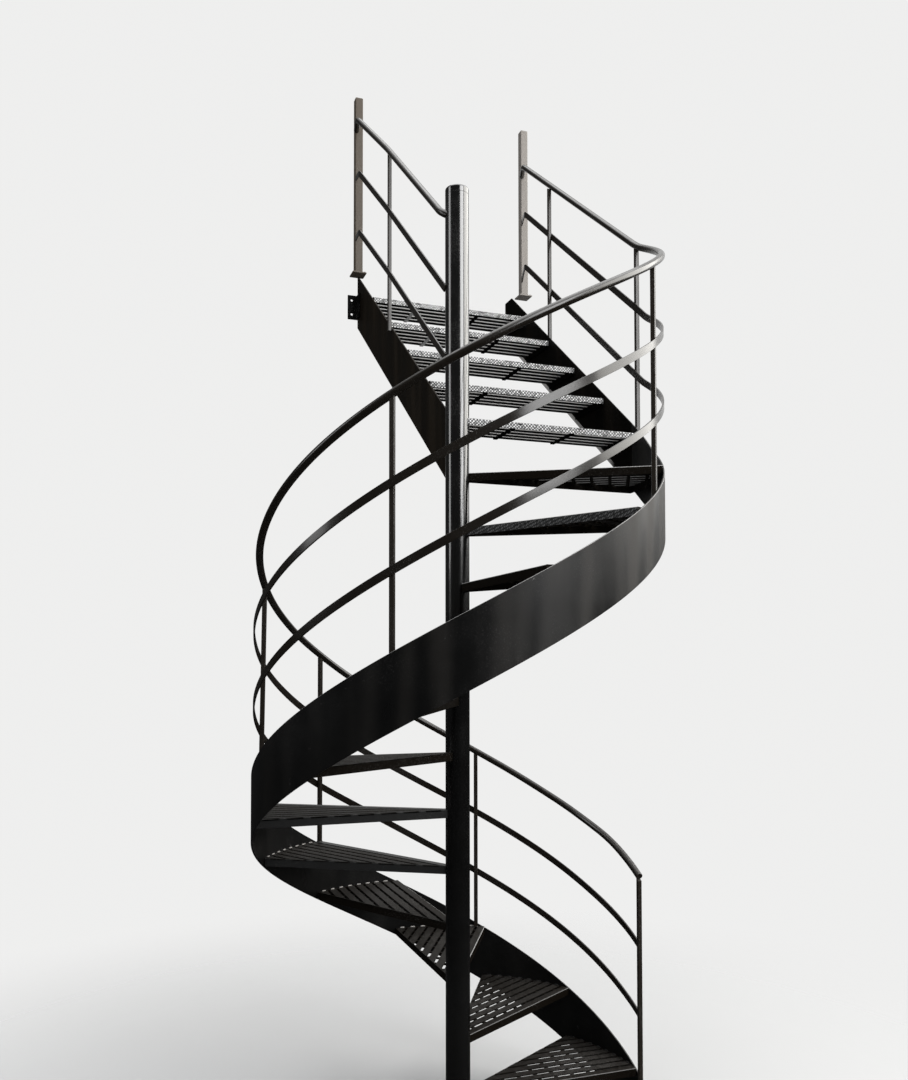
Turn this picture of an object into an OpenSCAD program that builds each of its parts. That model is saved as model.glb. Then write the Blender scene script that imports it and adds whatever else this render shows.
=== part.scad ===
// Outdoor steel spiral staircase: one turn of winder treads round a column,
// then a straight flight that climbs to a balcony.
// Origin: centre of the column's base plate, on the ground. The stair starts on +X,
// turns anticlockwise seen from above, and its straight flight runs along +Y.

/* [Stair] */
// Height from one tread to the next
riser = 206; // [185:1:215]
// Radius of the stair, to the outer plate's outer face
stair_r = 745; // [680:1:850]
// Depth of a straight step, from nosing to nosing
going = 255; // [240:1:275]
// How far a tread reaches under the nosing above it
overlap = 12; // [5:1:20]
// How far the lowest straight nosing stands in front of the column's axis
flight_lead = 35; // [20:1:40]

/* [Column] */
// Outside diameter of the column tube
column_d = 88.9; // [76:0.1:102]
// Wall of the column tube
column_wall = 5.5; // [3:0.5:8]
// Height of the column's top above the lowest straight step
column_rise = 872; // [800:1:950]
// Height of the column's domed cap
cap_h = 30; // [20:1:45]
// Side of the square base plate
base_w = 200; // [170:1:260]
// Thickness of the base plate
base_t = 12; // [8:1:20]
// Distance between the base plate's anchor holes
anchor_pitch = 150; // [140:1:155]
// Diameter of the anchor holes
anchor_d = 14; // [10:0.5:18]

/* [Stringers] */
// Thickness of the stringer plates
plate_t = 6; // [5:0.5:10]
// How far the helical plate's top edge lies below the line of nosings
spiral_drop = 8; // [0:1:20]
// Upright depth of the helical plate
spiral_depth = 234; // [220:1:260]
// How far the outer flight plate's top edge stands above the line of nosings
flight_lift = 17; // [5:1:30]
// How far the inner flight plate's top edge lies below the line of nosings
inner_drop = 8; // [0:1:20]
// Upright depth of the flight plates
flight_depth = 262; // [250:1:290]
// Angle by which the helical plate starts before the first nosing
plate_lead = 8; // [7.5:0.1:9]

/* [Treads] */
// Width of a nosing
nosing_w = 32; // [26:1:36]
// Width of a grating bar
bar_w = 30; // [24:1:34]
// Gap between the bars of a winder
winder_gap = 12; // [9:1:16]
// Gap between the bars of a straight step
step_gap = 20; // [15:1:22]
// Thickness of the nosings and grating bars
bar_t = 5; // [4:0.5:7]
// Height of the bars on edge that frame a tread
frame_h = 30; // [24:1:40]
// Thickness of the bars on edge
frame_t = 5; // [4:0.5:7]
// Width of the cross straps under the bars
strap_w = 40; // [25:1:50]

/* [Guard] */
// Outside diameter of the handrail tube
handrail_d = 26.7; // [24:0.1:34]
// Height of the handrail's centre above the line of nosings
handrail_rise = 760; // [720:1:820]
// Height of the upper rail's centre above the line of nosings
upper_rise = 492; // [470:1:540]
// Height of the lower rail's centre above the line of nosings
lower_rise = 232; // [200:1:270]
// Width of the flat rails
rail_w = 26; // [20:1:34]
// Thickness of the flat rails
rail_t = 6; // [5:0.5:8]
// Side of the square uprights
upright_w = 16; // [14:0.5:22]

/* [Balcony end] */
// Height of the balcony above the highest step
deck_rise = 188; // [150:1:215]
// How far the balcony's lip reaches over the highest step
deck_lip = 70; // [55:1:85]
// Thickness of the balcony's lip, which the outer flight plate ends under
lip_t = 30; // [20:1:50]
// Side of the square top posts
post_w = 38; // [32:1:45]
// Height of the top posts
post_h = 885; // [850:1:950]
// How far the outer top post stands outside the outer plate
outer_post_out = 83; // [76:1:95]
// Length of the wall angles' legs
angle_w = 50; // [40:1:60]

/* [Hidden] */
$fn = 72;
winder_count = 12;
step_count = 5;
winder_angle = 360 / winder_count;
// How far each winder lies off its even height
winder_shifts = [0, -6, -2, 0, 5, 6, 8, 3, -8, 5, 6, 5];
ring_step = 4;
joint_gap = 0.2;
handrail_sides = 12;
column_r = column_d / 2;
column_top = riser * (winder_count + 1) + column_rise;
inner_r = stair_r - plate_t;
seat_r = inner_r * cos(ring_step / 2) - joint_gap;
upright_r = seat_r - upright_w / 2;
flight_l = step_count * going - flight_lead;
spiral_slope = riser / (winder_angle * PI / 180 * stair_r);
flight_slope = riser / going;
deck_z = riser * (winder_count + step_count) + deck_rise;
plate_top_z = deck_z - lip_t;
foot_w = 70;
foot_t = 6;
foot_hole_pitch = 52;
foot_hole_d = 9;
post_y = flight_l - deck_lip + foot_w / 2;
post_front_y = post_y - post_w / 2;
bolt_d = 12;
// Angles of the uprights inside the helical plate, and of the one outside its upper end
upright_angles = [63, 121, 158, 234, 313.3];
last_upright_angle = 358.4;
// Angles between which the handrail swings outwards, to stand over the last upright
swing_start = 316;
swing_end = 352;
end_post_angle = -3.5;
rail_start = end_post_angle - 0.6;
upright_lap = 45;
// Outer face of the inner flight plate: its X beside the column, and the angle by which it turns outwards
inner_plate_x = -35;
inner_plate_turn = 1.15;
inner_plate_start = 20;
inner_post_x = -66;
outer_post_x = stair_r + outer_post_out;
post_side = post_w / 2;
// Places of the flight's uprights and of the bends where the rails level out
outer_upright_y = 748;
inner_upright_y = 691;
outer_bend_y = 1070;
inner_bend_y = 1080;
bend_half = 10;
// The rails in turn: handrail, upper rail, lower rail
rail_rises = [handrail_rise, upper_rise, lower_rise];
// How much higher each rail runs on the flight than on the spiral
flight_shifts = [-19, 5, -4];
// How much each outer rail climbs from its bend to the post
leg_rises = [17, 10, -23];
// How much higher each inner rail runs than the outer one: at the column, at its bend, at the post
inner_shifts = [[-5, 78, 87], [-39, 60, 90], [-28, 42, 59]];
// Outer faces of the inner flat rails at their bend, and centre of the inner handrail there
inner_bend_x = -97;
inner_handrail_bend_x = -102;
// How far a handrail's centre lies beyond the near corner of its post
handrail_end_in = 4;
outer_upright_x = stair_r + joint_gap + upright_w / 2;
rail_splay = (plate_t + upright_w + 3 * joint_gap) / outer_upright_y;
outer_bend_x = inner_r + rail_splay * outer_bend_y;
handrail_bend_x = stair_r + 23;
step_bars = 4;
// Places of the cross straps, as parts of the stair's radius
strap_places = [0.25, 0.66];
strap_t = 5;
strap_sink = 0.5;
nosing_lip = 26;
// How far a cutter reaches past the face that it cuts
cut = 1;
steel_black = [0.06, 0.06, 0.07];
tread_grey = [0.25, 0.25, 0.26];
post_grey = [0.35, 0.35, 0.36];

// Height of the line of nosings on the spiral, at an angle from the first nosing
function spiral_z(a) = riser * (1 + a / winder_angle);
// Height of the top of a winder, by its number
function winder_z(number) = number * riser + winder_shifts[number - 1];
// Height of the line of nosings on the straight flight
function flight_z(y) = riser * (winder_count + 1) + (y + flight_lead) * flight_slope;
// Height of a member that follows the spiral and then the flight, at angle a
function bent_z(a, on_spiral, on_flight) =
    max(spiral_z(a) + on_spiral, flight_z((a - 360) * PI / 180 * stair_r) + on_flight);

// A point at radius r, angle a and height z
function at(r, a, z) = [r * cos(a), r * sin(a), z];
// One rectangular ring of a bar between two radii and two heights
function spiral_ring(a, r0, r1, z0, z1) = [at(r0, a, z1), at(r1, a, z1), at(r1, a, z0), at(r0, a, z0)];
// The same ring on the flight, round a station [y, x of the face with the lower X, height, slope]
function flat_ring(s) =
    let(f = rail_w / 2 * sqrt(1 + s[3] * s[3]), x = s[1] + rail_t)
    [[s[1], s[0], s[2] + f], [x, s[0], s[2] + f], [x, s[0], s[2] - f], [s[1], s[0], s[2] - f]];
// Corner i of the handrail's section, as offsets outwards and upwards, on a given slope
function tube_corner(i, slope) =
    let(a = 180 / handrail_sides - 360 * i / handrail_sides)
    [handrail_d / 2 * cos(a), handrail_d / 2 * sin(a) * sqrt(1 + slope * slope)];
function tube_spiral_ring(a, r, z) =
    [for (i = [0:handrail_sides - 1]) let(p = tube_corner(i, spiral_slope)) at(r + p[0], a, z + p[1])];
function tube_ring(s) =
    [for (i = [0:handrail_sides - 1]) let(p = tube_corner(i, s[3])) [s[1] + p[0], s[0], s[2] + p[1]]];
// Stations round a rail's bend, from the points [y, x, height] before it, at it and at the post
function bend_stations(from, bend, end) =
    let(
        back = bend_half / (bend[0] - from[0]),
        on = bend_half / (end[0] - bend[0])
    )
    [
        concat(bend + (from - bend) * back, [(bend[2] - from[2]) / (bend[0] - from[0])]),
        concat(bend + (end - bend) * on, [0]),
        concat(end, [0])
    ];
// Height of outer rail i on the flight
function outer_rail_z(i, y) = flight_z(y) + rail_rises[i] + flight_shifts[i];
// Height of inner rail i up to its bend
function inner_rail_z(i, y) =
    let(shift = inner_shifts[i])
    outer_rail_z(i, y) + shift[0] + (shift[1] - shift[0]) * y / inner_bend_y;
// X of the inner flight plate's outer face, and of the steps' ends on its inner face
function inner_face(y) = inner_plate_x - y * tan(inner_plate_turn);
function step_left(y) = inner_face(y) + plate_t / cos(inner_plate_turn) + joint_gap;
// Height of the handrail's centre at an angle, and its radius there
function handrail_z(a) = bent_z(a, handrail_rise, handrail_rise + flight_shifts[0]);
function handrail_r(a) =
    let(swing = min(1, max(0, (a - swing_start) / (swing_end - swing_start))))
    upright_r + (outer_upright_x - upright_r) * swing;
// Climb of the handrail for each degree, over the facet that holds an angle
function handrail_climb(a) =
    let(a0 = floor(a / ring_step) * ring_step)
    (handrail_z(a0 + ring_step) - handrail_z(a0)) / ring_step;
// Height of the handrail's underside at an angle
function under_rail(a) =
    let(a0 = floor(a / ring_step) * ring_step)
    handrail_z(a0) + (a - a0) * handrail_climb(a)
    - handrail_d / 2 * sqrt(1 + spiral_slope * spiral_slope) - joint_gap;
// Angles of the rings from a start to the end of the turn
function ring_angles(start) =
    concat([start], [for (a = [ceil(start / ring_step) * ring_step : ring_step : 360]) a]);

// Skin over a row of rings that all have the same number of corners
module skin(rings) {
    m = len(rings[0]);
    last = len(rings) - 1;
    polyhedron(
        points = [for (ring = rings) for (p = ring) p],
        faces = concat(
            [[for (j = [0:m - 1]) j]],
            [[for (j = [m - 1:-1:0]) last * m + j]],
            [for (i = [0:last - 1]) for (j = [0:m - 1])
                [i * m + j, (i + 1) * m + j, (i + 1) * m + (j + 1) % m]],
            [for (i = [0:last - 1]) for (j = [0:m - 1])
                [i * m + j, (i + 1) * m + (j + 1) % m, i * m + (j + 1) % m]]
        ),
        convexity = 10
    );
}

module column() {
    color(steel_black)
    translate([0, 0, base_t])
    difference() {
        cylinder(h = column_top - cap_h - base_t, d = column_d);
        translate([0, 0, -cut])
            cylinder(h = column_top - cap_h - base_t + 2 * cut, d = column_d - 2 * column_wall);
    }
}

module column_cap() {
    edge_r = 9;
    crown = 2;
    color(steel_black)
    translate([0, 0, column_top - cap_h])
    rotate_extrude()
    polygon(concat(
        [[0, 0], [column_r, 0]],
        [for (a = [0:15:90])
            [column_r - edge_r + edge_r * cos(a), cap_h - edge_r - crown + edge_r * sin(a)]],
        [[0, cap_h]]
    ));
}

module base_plate() {
    color(steel_black)
    difference() {
        translate([-base_w / 2, -base_w / 2, 0]) cube([base_w, base_w, base_t]);
        for (x = [-1, 1], y = [-1, 1])
            translate([x * anchor_pitch / 2, y * anchor_pitch / 2, -cut])
                cylinder(h = base_t + 2 * cut, d = anchor_d);
    }
}

module outer_stringer() {
    low_spiral = -spiral_drop - spiral_depth;
    low_flight = flight_lift - flight_depth;
    color(steel_black)
    skin([for (a = ring_angles(-plate_lead))
        spiral_ring(a, inner_r, stair_r,
            max(0, bent_z(a, low_spiral, low_flight)), bent_z(a, -spiral_drop, flight_lift))]);
}

// Straight plate seen from the side, its top edge a given height above the nosings
// and cut level at cap_z
module flight_plate(start_y, top, cap_z) {
    low = top - flight_depth;
    corner_y = (cap_z - top - flight_z(0)) / flight_slope;
    rotate([90, 0, 90])
    linear_extrude(plate_t)
    polygon([
        [start_y, flight_z(start_y) + low], [flight_l, flight_z(flight_l) + low],
        [flight_l, cap_z], [corner_y, cap_z], [start_y, flight_z(start_y) + top]
    ]);
}

module outer_flight_stringer() {
    color(steel_black) translate([inner_r, 0, 0]) flight_plate(0, flight_lift, plate_top_z);
}

module inner_flight_stringer() {
    color(steel_black)
    difference() {
        translate([inner_plate_x, 0, 0]) rotate([0, 0, inner_plate_turn])
            flight_plate(inner_plate_start, -inner_drop, deck_z - joint_gap);
        cylinder(h = column_top, r = column_r + joint_gap);
    }
}

module stringer_foot() {
    start_angle = -2.8;
    turn = 12.3;
    width = 60;
    thick = 8;
    hole_r = seat_r - 34;
    hole_pitch = 80;
    mid_y = hole_r * sin(start_angle + turn / 2);
    color(steel_black)
    difference() {
        rotate([0, 0, start_angle]) rotate_extrude(angle = turn)
            translate([seat_r - width, 0]) square([width, thick]);
        for (side = [-1, 1])
            translate([hole_r, mid_y + side * hole_pitch / 2, -cut])
                cylinder(h = thick + 2 * cut, d = bolt_d);
    }
}

// Plan of a winder, with its nosing along +X
module winder_plan() {
    far = 2 * stair_r;
    back = overlap * [-sin(winder_angle), cos(winder_angle)];
    intersection() {
        difference() {
            circle(r = seat_r);
            circle(r = column_r + joint_gap);
        }
        polygon([[0, 0], [far, 0], far * [cos(winder_angle), sin(winder_angle)] + back, back]);
    }
}

// A bar of the plan between two distances behind the nosing
module winder_strip(y0, y1) {
    intersection() {
        winder_plan();
        translate([0, y0]) square([stair_r, y1 - y0]);
    }
}

module winder() {
    pitch = bar_w + winder_gap;
    first = nosing_w + winder_gap;
    depth = seat_r * sin(winder_angle) + overlap;
    translate([0, 0, -bar_t]) linear_extrude(bar_t) winder_strip(0, nosing_w);
    translate([0, 0, -frame_h]) linear_extrude(frame_h) winder_strip(0, frame_t);
    for (y = [first : pitch : depth])
        translate([0, 0, -bar_t]) linear_extrude(bar_t) winder_strip(y, y + bar_w);
    translate([0, 0, -frame_h]) linear_extrude(frame_h)
        intersection() {
            winder_plan();
            rotate(winder_angle) translate([0, overlap - frame_t]) square([stair_r, frame_t]);
        }
    translate([0, 0, -frame_h]) linear_extrude(frame_h)
        difference() {
            winder_plan();
            circle(r = seat_r - frame_t);
        }
    for (x = strap_places)
        translate([0, 0, -bar_t - strap_t]) linear_extrude(strap_t + strap_sink)
            intersection() {
                winder_plan();
                translate([x * stair_r, 0]) square([strap_w, stair_r]);
            }
}

// The winder with a given number, counted from the ground
module tread(number) {
    color(tread_grey)
    translate([0, 0, winder_z(number)])
    rotate([0, 0, (number - 1) * winder_angle])
    winder();
}

// Plan of the straight step whose nosing stands at a given Y
module step_plan(front) {
    back = front + nosing_w + step_bars * (bar_w + step_gap);
    right = inner_r - joint_gap;
    difference() {
        polygon(concat(
            [[step_left(back), back], [step_left(front), front]],
            front < 0 ? [[sqrt(seat_r * seat_r - front * front), front], [right, 0]] : [[right, front]],
            [[right, back]]
        ));
        circle(r = column_r + joint_gap);
        translate([-column_r, -column_r]) square(column_r);
    }
}

// The part of that plan between two X values and two distances behind the nosing
module step_strip(front, x0, x1, y0, y1) {
    intersection() {
        step_plan(front);
        translate([x0, front + y0]) square([x1 - x0, y1 - y0]);
    }
}

// The straight step with a given number
module step(number) {
    pitch = bar_w + step_gap;
    first = nosing_w + step_gap;
    depth = nosing_w + step_bars * pitch;
    front = (number - winder_count - 1) * going - flight_lead;
    back = front + depth;
    color(tread_grey)
    translate([0, 0, number * riser]) {
        translate([0, 0, -bar_t]) linear_extrude(bar_t)
            step_strip(front, -stair_r, stair_r, 0, nosing_w);
        translate([0, 0, -nosing_lip]) linear_extrude(nosing_lip)
            step_strip(front, -stair_r, stair_r, 0, frame_t);
        for (y = [first : pitch : depth])
            translate([0, 0, -bar_t]) linear_extrude(bar_t)
                step_strip(front, -stair_r, stair_r, y, y + bar_w);
        translate([0, 0, -frame_h]) linear_extrude(frame_h)
            step_strip(front, inner_r - joint_gap - frame_t, stair_r, 0, depth);
        translate([0, 0, -frame_h]) linear_extrude(frame_h)
            intersection() {
                step_plan(front);
                polygon([
                    [step_left(front), front], [step_left(front) + frame_t, front],
                    [step_left(back) + frame_t, back], [step_left(back), back]
                ]);
            }
        for (x = strap_places * stair_r)
            translate([0, 0, -bar_t - strap_t]) linear_extrude(strap_t + strap_sink)
                step_strip(front, x, x + strap_w, 0, depth);
    }
}

// The handrail: the spiral, the flight, and the level leg at the top post
module handrail() {
    from = [0, outer_upright_x, outer_rail_z(0, 0)];
    bend = [outer_bend_y, handrail_bend_x, outer_rail_z(0, outer_bend_y)];
    end = [post_front_y, outer_post_x - post_side + handrail_end_in, bend[2] + leg_rises[0]];
    color(steel_black)
    skin(concat(
        [for (a = ring_angles(rail_start))
            tube_spiral_ring(a, handrail_r(a), handrail_z(a))],
        [for (s = bend_stations(from, bend, end)) tube_ring(s)]
    ));
}

// Flat rail i on the outer side
module flat_rail(i) {
    rise = rail_rises[i];
    up = rise + flight_shifts[i];
    s = rail_w / 2 * sqrt(1 + spiral_slope * spiral_slope);
    f = rail_w / 2 * sqrt(1 + flight_slope * flight_slope);
    from = [0, inner_r, outer_rail_z(i, 0)];
    bend = [outer_bend_y, outer_bend_x, outer_rail_z(i, outer_bend_y)];
    end = [post_front_y, outer_post_x - post_side, bend[2] + leg_rises[i]];
    color(steel_black)
    skin(concat(
        [for (a = ring_angles(rail_start))
            spiral_ring(a, inner_r, inner_r + rail_t,
                bent_z(a, rise - s, up - f), bent_z(a, rise + s, up + f))],
        [for (p = bend_stations(from, bend, end)) flat_ring(p)]
    ));
}

module upper_rail() {
    flat_rail(1);
}

module lower_rail() {
    flat_rail(2);
}

// Stations of inner rail i, whose X is given at the column, the upright, the bend and the post
function inner_stations(i, x) =
    let(
        slope = flight_slope + (inner_shifts[i][1] - inner_shifts[i][0]) / inner_bend_y,
        start = [0, x[0], inner_rail_z(i, 0)],
        from = [inner_upright_y, x[1], inner_rail_z(i, inner_upright_y)],
        bend = [inner_bend_y, x[2], inner_rail_z(i, inner_bend_y)],
        end = [post_front_y, x[3], bend[2] + inner_shifts[i][2] - inner_shifts[i][1]]
    )
    concat([concat(start, [slope]), concat(from, [slope])], bend_stations(from, bend, end));

module inner_handrail() {
    r = handrail_d / 2;
    upright_x = inner_face(inner_upright_y) - upright_w - 2;
    end_x = inner_post_x - post_side + handrail_end_in;
    color(steel_black)
    skin([
        for (s = inner_stations(0, [-column_r - r, upright_x, inner_handrail_bend_x, end_x]))
            tube_ring(s)
    ]);
}

// Flat rail i on the inner side
module inner_flat(i) {
    upright_x = inner_face(inner_upright_y) - upright_w - 3 * joint_gap - rail_t;
    end_x = inner_post_x - post_side;
    color(steel_black)
    skin([
        for (s = inner_stations(i, [-column_r - rail_t, upright_x, inner_bend_x, end_x]))
            flat_ring(s)
    ]);
}

// Square upright with its top cut to the slope of the rail above it
module upright(z0, z1, slope) {
    half = upright_w / 2;
    rotate([90, 0, 90])
    translate([0, 0, -half])
    linear_extrude(upright_w)
    polygon([[-half, z0], [half, z0], [half, z1 + half * slope], [-half, z1 - half * slope]]);
}

module end_post() {
    color(steel_black)
    rotate([0, 0, end_post_angle]) translate([upright_r, 0, 0])
        upright(0, under_rail(end_post_angle), spiral_slope);
}

module spiral_uprights() {
    last = last_upright_angle;
    plate_top = bent_z(last, -spiral_drop, flight_lift);
    climb = handrail_climb(last) * 180 / PI / outer_upright_x;
    color(steel_black) {
        for (a = upright_angles)
            rotate([0, 0, a]) translate([upright_r, 0, 0])
                upright(winder_z(1 + floor(a / winder_angle)) + joint_gap, under_rail(a), spiral_slope);
        rotate([0, 0, last]) translate([outer_upright_x, 0, 0])
            upright(plate_top - upright_lap, under_rail(last), climb);
    }
}

// Upright on the flight, from beside its plate up to a rail's height
module flight_upright(x, y, top, rail_z) {
    tube_half = handrail_d / 2 * sqrt(1 + flight_slope * flight_slope);
    color(steel_black)
    translate([x, y, 0])
        upright(flight_z(y) + top - upright_lap, rail_z - tube_half - joint_gap, flight_slope);
}

module outer_flight_upright() {
    flight_upright(outer_upright_x, outer_upright_y, flight_lift, outer_rail_z(0, outer_upright_y));
}

module inner_flight_upright() {
    x = inner_face(inner_upright_y - upright_w / 2) - 2 * joint_gap - upright_w / 2;
    flight_upright(x, inner_upright_y, -inner_drop, inner_rail_z(0, inner_upright_y));
}

module top_post(x) {
    color(post_grey)
    translate([x, post_y, deck_z]) {
        difference() {
            translate([-foot_w / 2, -foot_w / 2, 0]) cube([foot_w, foot_w, foot_t]);
            for (i = [-1, 1], j = [-1, 1])
                translate([i * foot_hole_pitch / 2, j * foot_hole_pitch / 2, -cut])
                    cylinder(h = foot_t + 2 * cut, d = foot_hole_d);
        }
        translate([-post_w / 2, -post_w / 2, 0]) cube([post_w, post_w, post_h]);
    }
}

module outer_top_post() {
    top_post(outer_post_x);
}

module inner_top_post() {
    top_post(inner_post_x);
}

// Angle that bolts a flight plate's end to the balcony's face
module wall_angle(x, side, low) {
    length = 120;
    thick = 6;
    rise = 40;
    hole_end = 25;
    hole_out = 30;
    color(steel_black)
    translate([x, flight_l, flight_z(flight_l) + low + rise])
    difference() {
        union() {
            translate([side > 0 ? 0 : -angle_w, -thick, 0]) cube([angle_w, thick, length]);
            translate([side > 0 ? 0 : -thick, -angle_w, 0]) cube([thick, angle_w, length]);
        }
        for (z = [hole_end, length - hole_end])
            translate([side * hole_out, cut, z]) rotate([90, 0, 0])
                cylinder(h = thick + 2 * cut, d = bolt_d);
    }
}

module outer_wall_angle() {
    wall_angle(stair_r, 1, flight_lift - flight_depth);
}

module inner_wall_angle() {
    wall_angle(inner_face(flight_l) - joint_gap, -1, -inner_drop - flight_depth);
}

column();
column_cap();
base_plate();
outer_stringer();
outer_flight_stringer();
inner_flight_stringer();
stringer_foot();
tread(1);  // tread_01
tread(2);  // tread_02
tread(3);  // tread_03
tread(4);  // tread_04
tread(5);  // tread_05
tread(6);  // tread_06
tread(7);  // tread_07
tread(8);  // tread_08
tread(9);  // tread_09
tread(10);  // tread_10
tread(11);  // tread_11
tread(12);  // tread_12
step(13);  // step_13
step(14);  // step_14
step(15);  // step_15
step(16);  // step_16
step(17);  // step_17
handrail();
upper_rail();
lower_rail();
inner_handrail();
inner_flat(1);  // inner_upper_rail
inner_flat(2);  // inner_lower_rail
end_post();
spiral_uprights();
outer_flight_upright();
inner_flight_upright();
outer_top_post();
inner_top_post();
outer_wall_angle();
inner_wall_angle();
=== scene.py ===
# %% [markdown]
# # An outdoor steel spiral staircase
#
# Twelve wedge-shaped treads, called winders, turn once round a steel column. A helical plate
# carries their outer ends. Five straight steps then leave the column and climb to the floor above
# between two straight plates, with a tube and two flat bars as a guard on each side.
#
# Such a stair is made of stock that a smith bends and welds: tube, flat bar, plate and grating.
# So nearly every piece here is a section carried along a path, which is what bending stock does.
# The exact model supplies the sizes and the places, and this lesson gives the pieces their
# smooth curves, rounded edges, welds, bolts and paint.

# %% Load the exact model
import bpy
import numpy as np
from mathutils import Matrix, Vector


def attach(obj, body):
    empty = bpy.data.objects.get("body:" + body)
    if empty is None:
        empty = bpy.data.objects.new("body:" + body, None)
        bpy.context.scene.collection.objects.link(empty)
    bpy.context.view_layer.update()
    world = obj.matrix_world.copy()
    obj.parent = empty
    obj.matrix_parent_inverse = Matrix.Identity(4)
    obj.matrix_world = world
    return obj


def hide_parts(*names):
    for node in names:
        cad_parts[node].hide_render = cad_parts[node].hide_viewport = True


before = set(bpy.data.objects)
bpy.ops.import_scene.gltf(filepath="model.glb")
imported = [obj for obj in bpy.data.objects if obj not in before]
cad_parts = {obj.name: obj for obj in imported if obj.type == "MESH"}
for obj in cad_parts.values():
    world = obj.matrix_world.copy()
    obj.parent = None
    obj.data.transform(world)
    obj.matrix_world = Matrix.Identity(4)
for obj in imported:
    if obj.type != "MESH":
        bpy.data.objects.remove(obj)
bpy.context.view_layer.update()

# %% [markdown]
# ## Sizes
#
# The lesson repeats the stair's own sizes in metres. A tread rises 206 mm above the last, and
# twelve treads make a full turn, so each one turns 30 degrees. The curved pieces of the exact
# model are made of flat facets, and a smooth circle stays inside their corners if its radius is
# half a millimetre less. The real winders lie a few millimetres off an even pitch, and the eighth
# one sags at its outer end.

# %% Sizes of the stair
RISER = 0.206
WINDERS = 12
STEPS = 5
TURN = 30.0
GOING = 0.255
LEAD = 0.035
OUTER_R = 0.7445
INNER_R = 0.739
SEAT_R = 0.73835
COLUMN_R = 0.04445
COLUMN_TOP = 3.55
CUT_R = COLUMN_R + 0.0003
SPIRAL_SLOPE = RISER / (np.radians(TURN) * OUTER_R)
FLIGHT_SLOPE = RISER / GOING
POST_FRONT = 1.186
WINDER_SHIFTS = np.array([0, -6, -2, 0, 5, 6, 8, 3, -8, 5, 6, 5]) / 1000
WINDER_SAGS = np.array([0, 0, 0, 0, 0, 0, 0, 12, 0, 0, 0, 0]) / 1000


def spiral_height(turn):
    """Height of the line of nosings at an angle in degrees: one riser, and one more every 30 degrees."""
    return RISER * (1 + turn / TURN)


def winder_top(number, radius=0.0):
    """Height of a winder's top: its risers, plus what it lies off that, less what it sags outwards."""
    return number * RISER + WINDER_SHIFTS[number - 1] - WINDER_SAGS[number - 1] * radius / SEAT_R


def flight_height(y):
    """Height of the line of nosings on the straight flight: thirteen risers, then the slope."""
    return RISER * (WINDERS + 1) + (y + LEAD) * FLIGHT_SLOPE


print("slopes: spiral %.3f, flight %.3f" % (SPIRAL_SLOPE, FLIGHT_SLOPE))

# %% [markdown]
# ## Camera
#
# The camera stands at eye height, three and a half metres from the column, and looks up a
# little. The picture's frame lies higher than the line of sight, so the lens is shifted instead
# of the camera being tilted more: tilting would make the column lean.

# %% Camera
IMAGE = (908, 1080)
LENS_PIXELS = 937.716
CENTRE_PIXEL = (424.635, 632.642)
SENSOR = 36.0
EYE = (-1.2232, -3.2288, 1.7715)
SIGHT = (0.3211, 0.9464, 0.0334)


def adjusted(made, **settings):
    """A thing with its properties set, in the order given."""
    for key, value in settings.items():
        setattr(made, key, value)
    return made


def add_object(name, data):
    """A new object in the scene."""
    made = bpy.data.objects.new(name, data)
    bpy.context.scene.collection.objects.link(made)
    return made


def aimed(name, data, spot, way):
    """A new object at a spot, which looks along a direction with its top upwards."""
    turned_to = Vector(way).to_track_quat("-Z", "Y").to_euler()
    return adjusted(add_object(name, data), location=spot, rotation_euler=turned_to)


lens = adjusted(bpy.data.cameras.new("camera"), sensor_width=SENSOR, lens=LENS_PIXELS / IMAGE[1] * SENSOR,
                shift_x=(IMAGE[0] / 2 - CENTRE_PIXEL[0]) / IMAGE[1],
                shift_y=(CENTRE_PIXEL[1] - IMAGE[1] / 2) / IMAGE[1])
bpy.context.scene.camera = aimed("camera", lens, EYE, SIGHT)
print("camera: %.1f mm lens, shift %.3f %.3f" % (lens.lens, lens.shift_x, lens.shift_y))

# %% [markdown]
# ## Shapes as arrays
#
# Three helpers make nearly everything. `carried` takes a closed section along a path. `turned`
# spins a profile round an upright axis, as a lathe does. `bar` fills the space between two ends
# that may be slanted or curved, which suits grating bars that are cut to fit a wedge.
# Each one works out all its points at once as an array and returns points and faces.
# A closed skin holds a positive volume if its faces point outwards, so `skin` measures the
# volume and turns the faces round where it is negative.

# %% Skins
def skin(grid):
    """A closed skin over rows of rings of points: quads between neighbouring rows, and two end caps.

    Its faces are turned round if the volume that it holds, the sum of a.(b x c) / 6, is negative."""
    rows, columns = grid.shape[:2]
    points = grid.reshape(-1, 3)
    i, j = np.meshgrid(np.arange(rows - 1), np.arange(columns), indexing="ij")
    k = (j + 1) % columns
    quads = np.stack([i * columns + j, (i + 1) * columns + j, (i + 1) * columns + k, i * columns + k], -1)
    ends = [np.arange(columns), rows * columns - 1 - np.arange(columns)]
    faces = quads.reshape(-1, 4).tolist() + [end.tolist() for end in ends]
    fans = np.array([(f[0], f[n], f[n + 1]) for f in faces for n in range(1, len(f) - 1)])
    a, b, c = (points[corner] for corner in fans.T)
    volume = np.einsum("ij,ij->i", a, np.cross(b, c)).sum()
    return points, faces if volume > 0 else [f[::-1] for f in faces]


def joined(parts):
    """One skin from several: each part's faces are counted on from the last part's points."""
    starts = np.cumsum([0] + [len(points) for points, _ in parts[:-1]])
    faces = [np.add(face, start).tolist() for (_, some), start in zip(parts, starts) for face in some]
    return np.concatenate([points for points, _ in parts]), faces


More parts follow.
